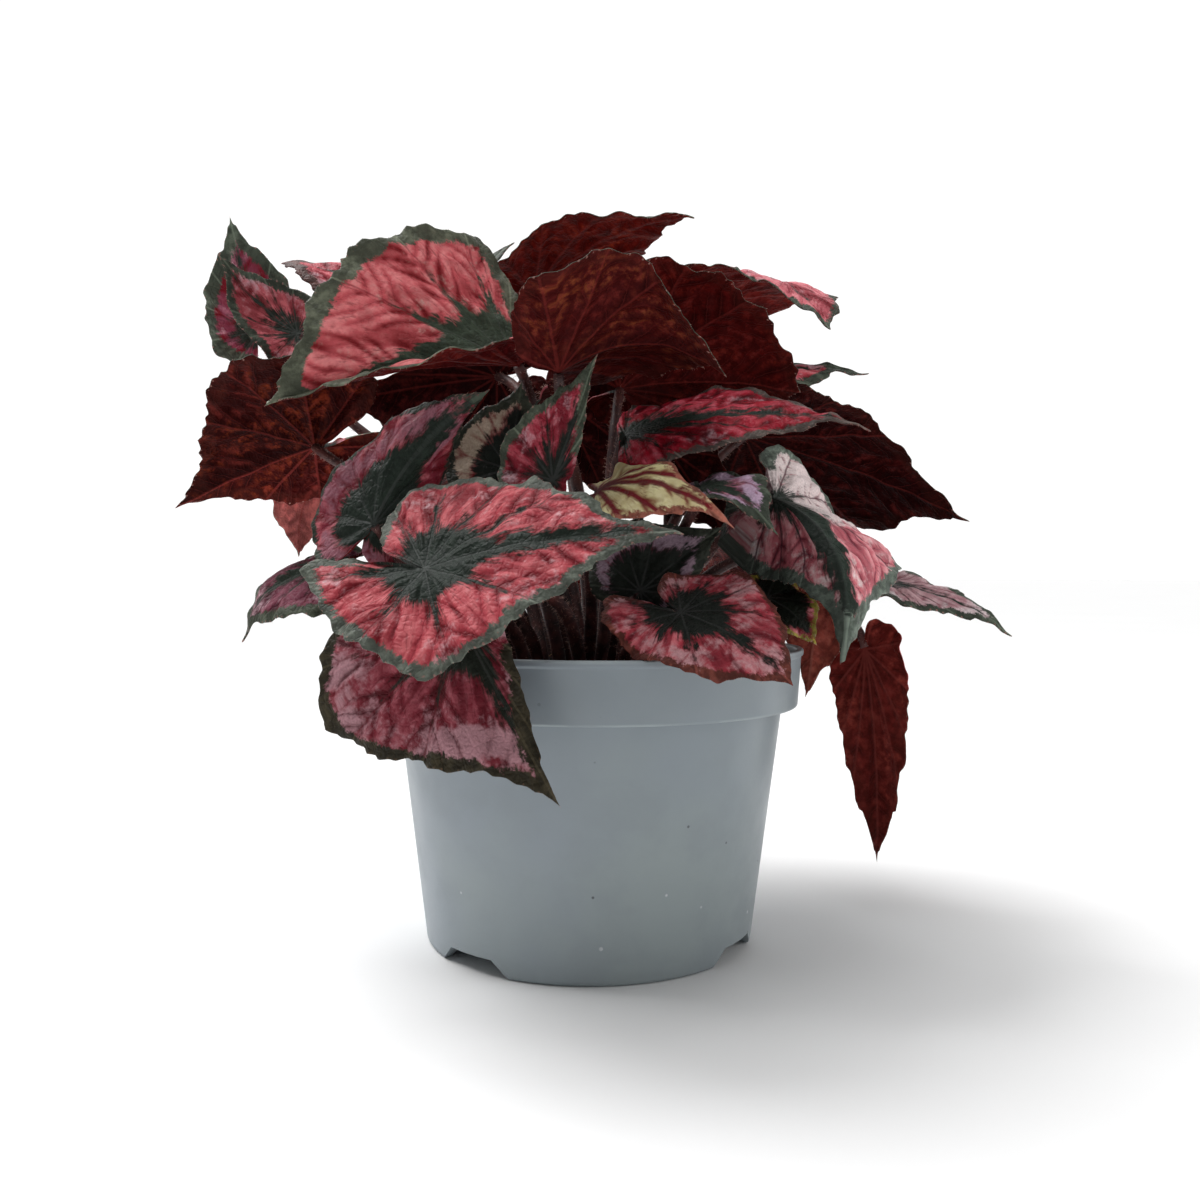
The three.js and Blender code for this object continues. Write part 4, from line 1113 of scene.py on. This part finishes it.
def build_soil():
    top = COLLAR_RADIUS - WALL - CLEARANCE
    foot = INNER_FOOT_RADIUS - CLEARANCE
    wall = [
        (0, FLOOR_TOP + CLEARANCE),
        (foot - FLOOR_COVE, FLOOR_TOP + CLEARANCE),
        (foot, FLOOR_TOP + FLOOR_COVE + CLEARANCE),
        (BODY_TOP_RADIUS - WALL - CLEARANCE, COLLAR_BOTTOM - WALL),
        (top, COLLAR_BOTTOM + WALL + CLEARANCE),
    ]
    surface = [(radius, SOIL_TOP) for radius in np.linspace(top, 0, SOIL_RINGS)]
    points, faces = lathe(np.array(wall + surface, float), SOIL_SIDES)
    upper = points[:, 2] > SOIL_TOP - 0.1
    xy = points[upper, :2]
    points[upper, 2] = soil_height(xy[:, 0], xy[:, 1]) + waves(xy, 6, 3, 4) * 0.7
    shape = Shape()
    shape.add(points, faces)
    face_outward(shape.build("soil_fine", [soil_finish()], "soil", "soil").data)
    build_crumbs(top)
    build_fibres(top)


def ball():
    """The points and faces of a ball of radius 1."""
    mesh = bpy.data.meshes.new("ball")
    maker = bmesh.new()
    bmesh.ops.create_icosphere(maker, subdivisions=2, radius=1)
    maker.to_mesh(mesh)
    maker.free()
    points = np.array([v.co for v in mesh.vertices])
    faces = np.array([tuple(p.vertices) for p in mesh.polygons])
    bpy.data.meshes.remove(mesh)
    return points, faces


def build_crumbs(top):
    """Crumbs of many sizes, most of them small, over the whole surface."""
    knob, knob_faces = ball()
    crumbs = Shape()
    for k in range(CRUMB_COUNT):
        radius = (top - 2.2) * math.sqrt(RANDOM.uniform(0.02, 1))
        angle = RANDOM.uniform(0, 2 * math.pi)
        x, y = radius * math.cos(angle), radius * math.sin(angle)
        size = 0.55 + 1.5 * RANDOM.uniform(0, 1) ** 3
        stretch = RANDOM.uniform(0.55, 1.25, 3)
        lump = knob * (1 + 0.22 * waves(knob, 1.6, 500 + k))[:, None] * stretch * size
        tilt = np.array(Matrix.Rotation(RANDOM.uniform(0, 6.3), 3, Vector(RANDOM.normal(size=3))))
        crumbs.add(lump @ tilt.T + [x, y, soil_height(x, y) + 0.35 * size], [knob_faces])
    crumbs.build("soil_crumbs", [crumb_finish()], "soil")


def build_fibres(top):
    """Bent fibres that lie on the surface, every third one near the rim."""
    fibres = Shape()
    for k in range(FIBRE_COUNT):
        near_rim = k % 3 == 0
        radius = top - RANDOM.uniform(1.5, 6) if near_rim else (top - 6) * math.sqrt(RANDOM.uniform(0.02, 1))
        angle = RANDOM.uniform(0, 2 * math.pi)
        line = [np.array([radius * math.cos(angle), radius * math.sin(angle), 0])]
        heading = RANDOM.uniform(0, 2 * math.pi)
        bend = RANDOM.uniform(-0.25, 0.25)
        step = RANDOM.uniform(0.6, 1.6)
        rise = RANDOM.uniform(-0.04, 0.22)
        for _ in range(FIBRE_STEPS):
            heading += bend + RANDOM.normal() * 0.12
            line.append(line[-1] + step * np.array([math.cos(heading), math.sin(heading), 0]))
        line = np.array(line)
        far = np.linalg.norm(line[:, :2], axis=1)
        line[:, :2] *= np.minimum(1, (top - 1.2) / np.maximum(far, 1e-6))[:, None]
        line[:, 2] = soil_height(line[:, 0], line[:, 1]) + 0.7 + rise * np.arange(len(line))
        radii = RANDOM.uniform(0.1, 0.34) * np.linspace(1, 0.5, len(line))
        fibres.add(*tube(line, radii, FIBRE_SIDES))
    fibres.build("soil_fibres", [fibre_finish()], "soil")


# ---------------- stage


def add_lamp(name, kind, place, direction, **settings):
    light = bpy.data.lights.new(name, kind)
    for setting, value in settings.items():
        setattr(light, setting, value)
    lamp = put(name, light)
    lamp.location = place
    lamp.rotation_mode = "QUATERNION"
    lamp.rotation_quaternion = Vector(direction).to_track_quat("-Z", "Y")


def build_stage():
    mesh = bpy.data.meshes.new("floor")
    corners = [(FLOOR_REACH * x, FLOOR_REACH * y, 0) for x, y in ((-1, -1), (1, -1), (1, 1), (-1, 1))]
    mesh.from_pydata(corners, [], [(0, 1, 2, 3)])
    mesh.materials.append(floor_finish())
    put("floor", mesh)

    spread = math.radians(SUN_SPREAD)
    add_lamp("sun", "SUN", (0, 0, 0), SUN_DIRECTION, energy=SUN_STRENGTH, angle=spread)
    lamps = [("overhead", OVERHEAD_PLACE, OVERHEAD_POWER), ("side", SIDE_PLACE, SIDE_POWER)]
    for name, place, power in lamps:
        direction = Vector(LAMP_TARGET) - Vector(place)
        add_lamp(name, "AREA", place, direction, shape="DISK", size=LAMP_SIZE, energy=power)

    n = Nodes("studio", bpy.data.worlds)
    backward = n.split(n.node("TexCoord", {}).outputs["Generated"])[1]
    background = n.tree.nodes["Background"]
    n.put(background.inputs["Color"], (1, 1, 1))
    n.put(background.inputs["Strength"], n.step(backward, *WORLD_EDGES, WORLD_FRONT, WORLD_BACK))
    bpy.context.scene.world = n.owner


def build_camera():
    data = bpy.data.cameras.new("camera")
    data.sensor_width = SENSOR_WIDTH
    data.lens = SENSOR_WIDTH * FOCAL_PIXELS / PHOTO_PIXELS
    data.clip_start = 0.01
    camera = put("camera", data)
    tilt = Matrix.Rotation(math.pi / 2 + CAMERA_PITCH, 4, "X")
    camera.matrix_world = Matrix.Translation(CAMERA_PLACE) @ tilt @ Matrix.Rotation(CAMERA_ROLL, 4, "Z")
    bpy.context.scene.camera = camera


# ---------------- everything

build_pot()
build_soil()
stalk_material, hair_material = stalk_finish(), hair_finish()
for index, row in enumerate(LEAVES):
    build_leaf(index, row, stalk_material, hair_material)
build_stage()
build_camera()
bpy.context.scene.view_settings.view_transform = "Standard"
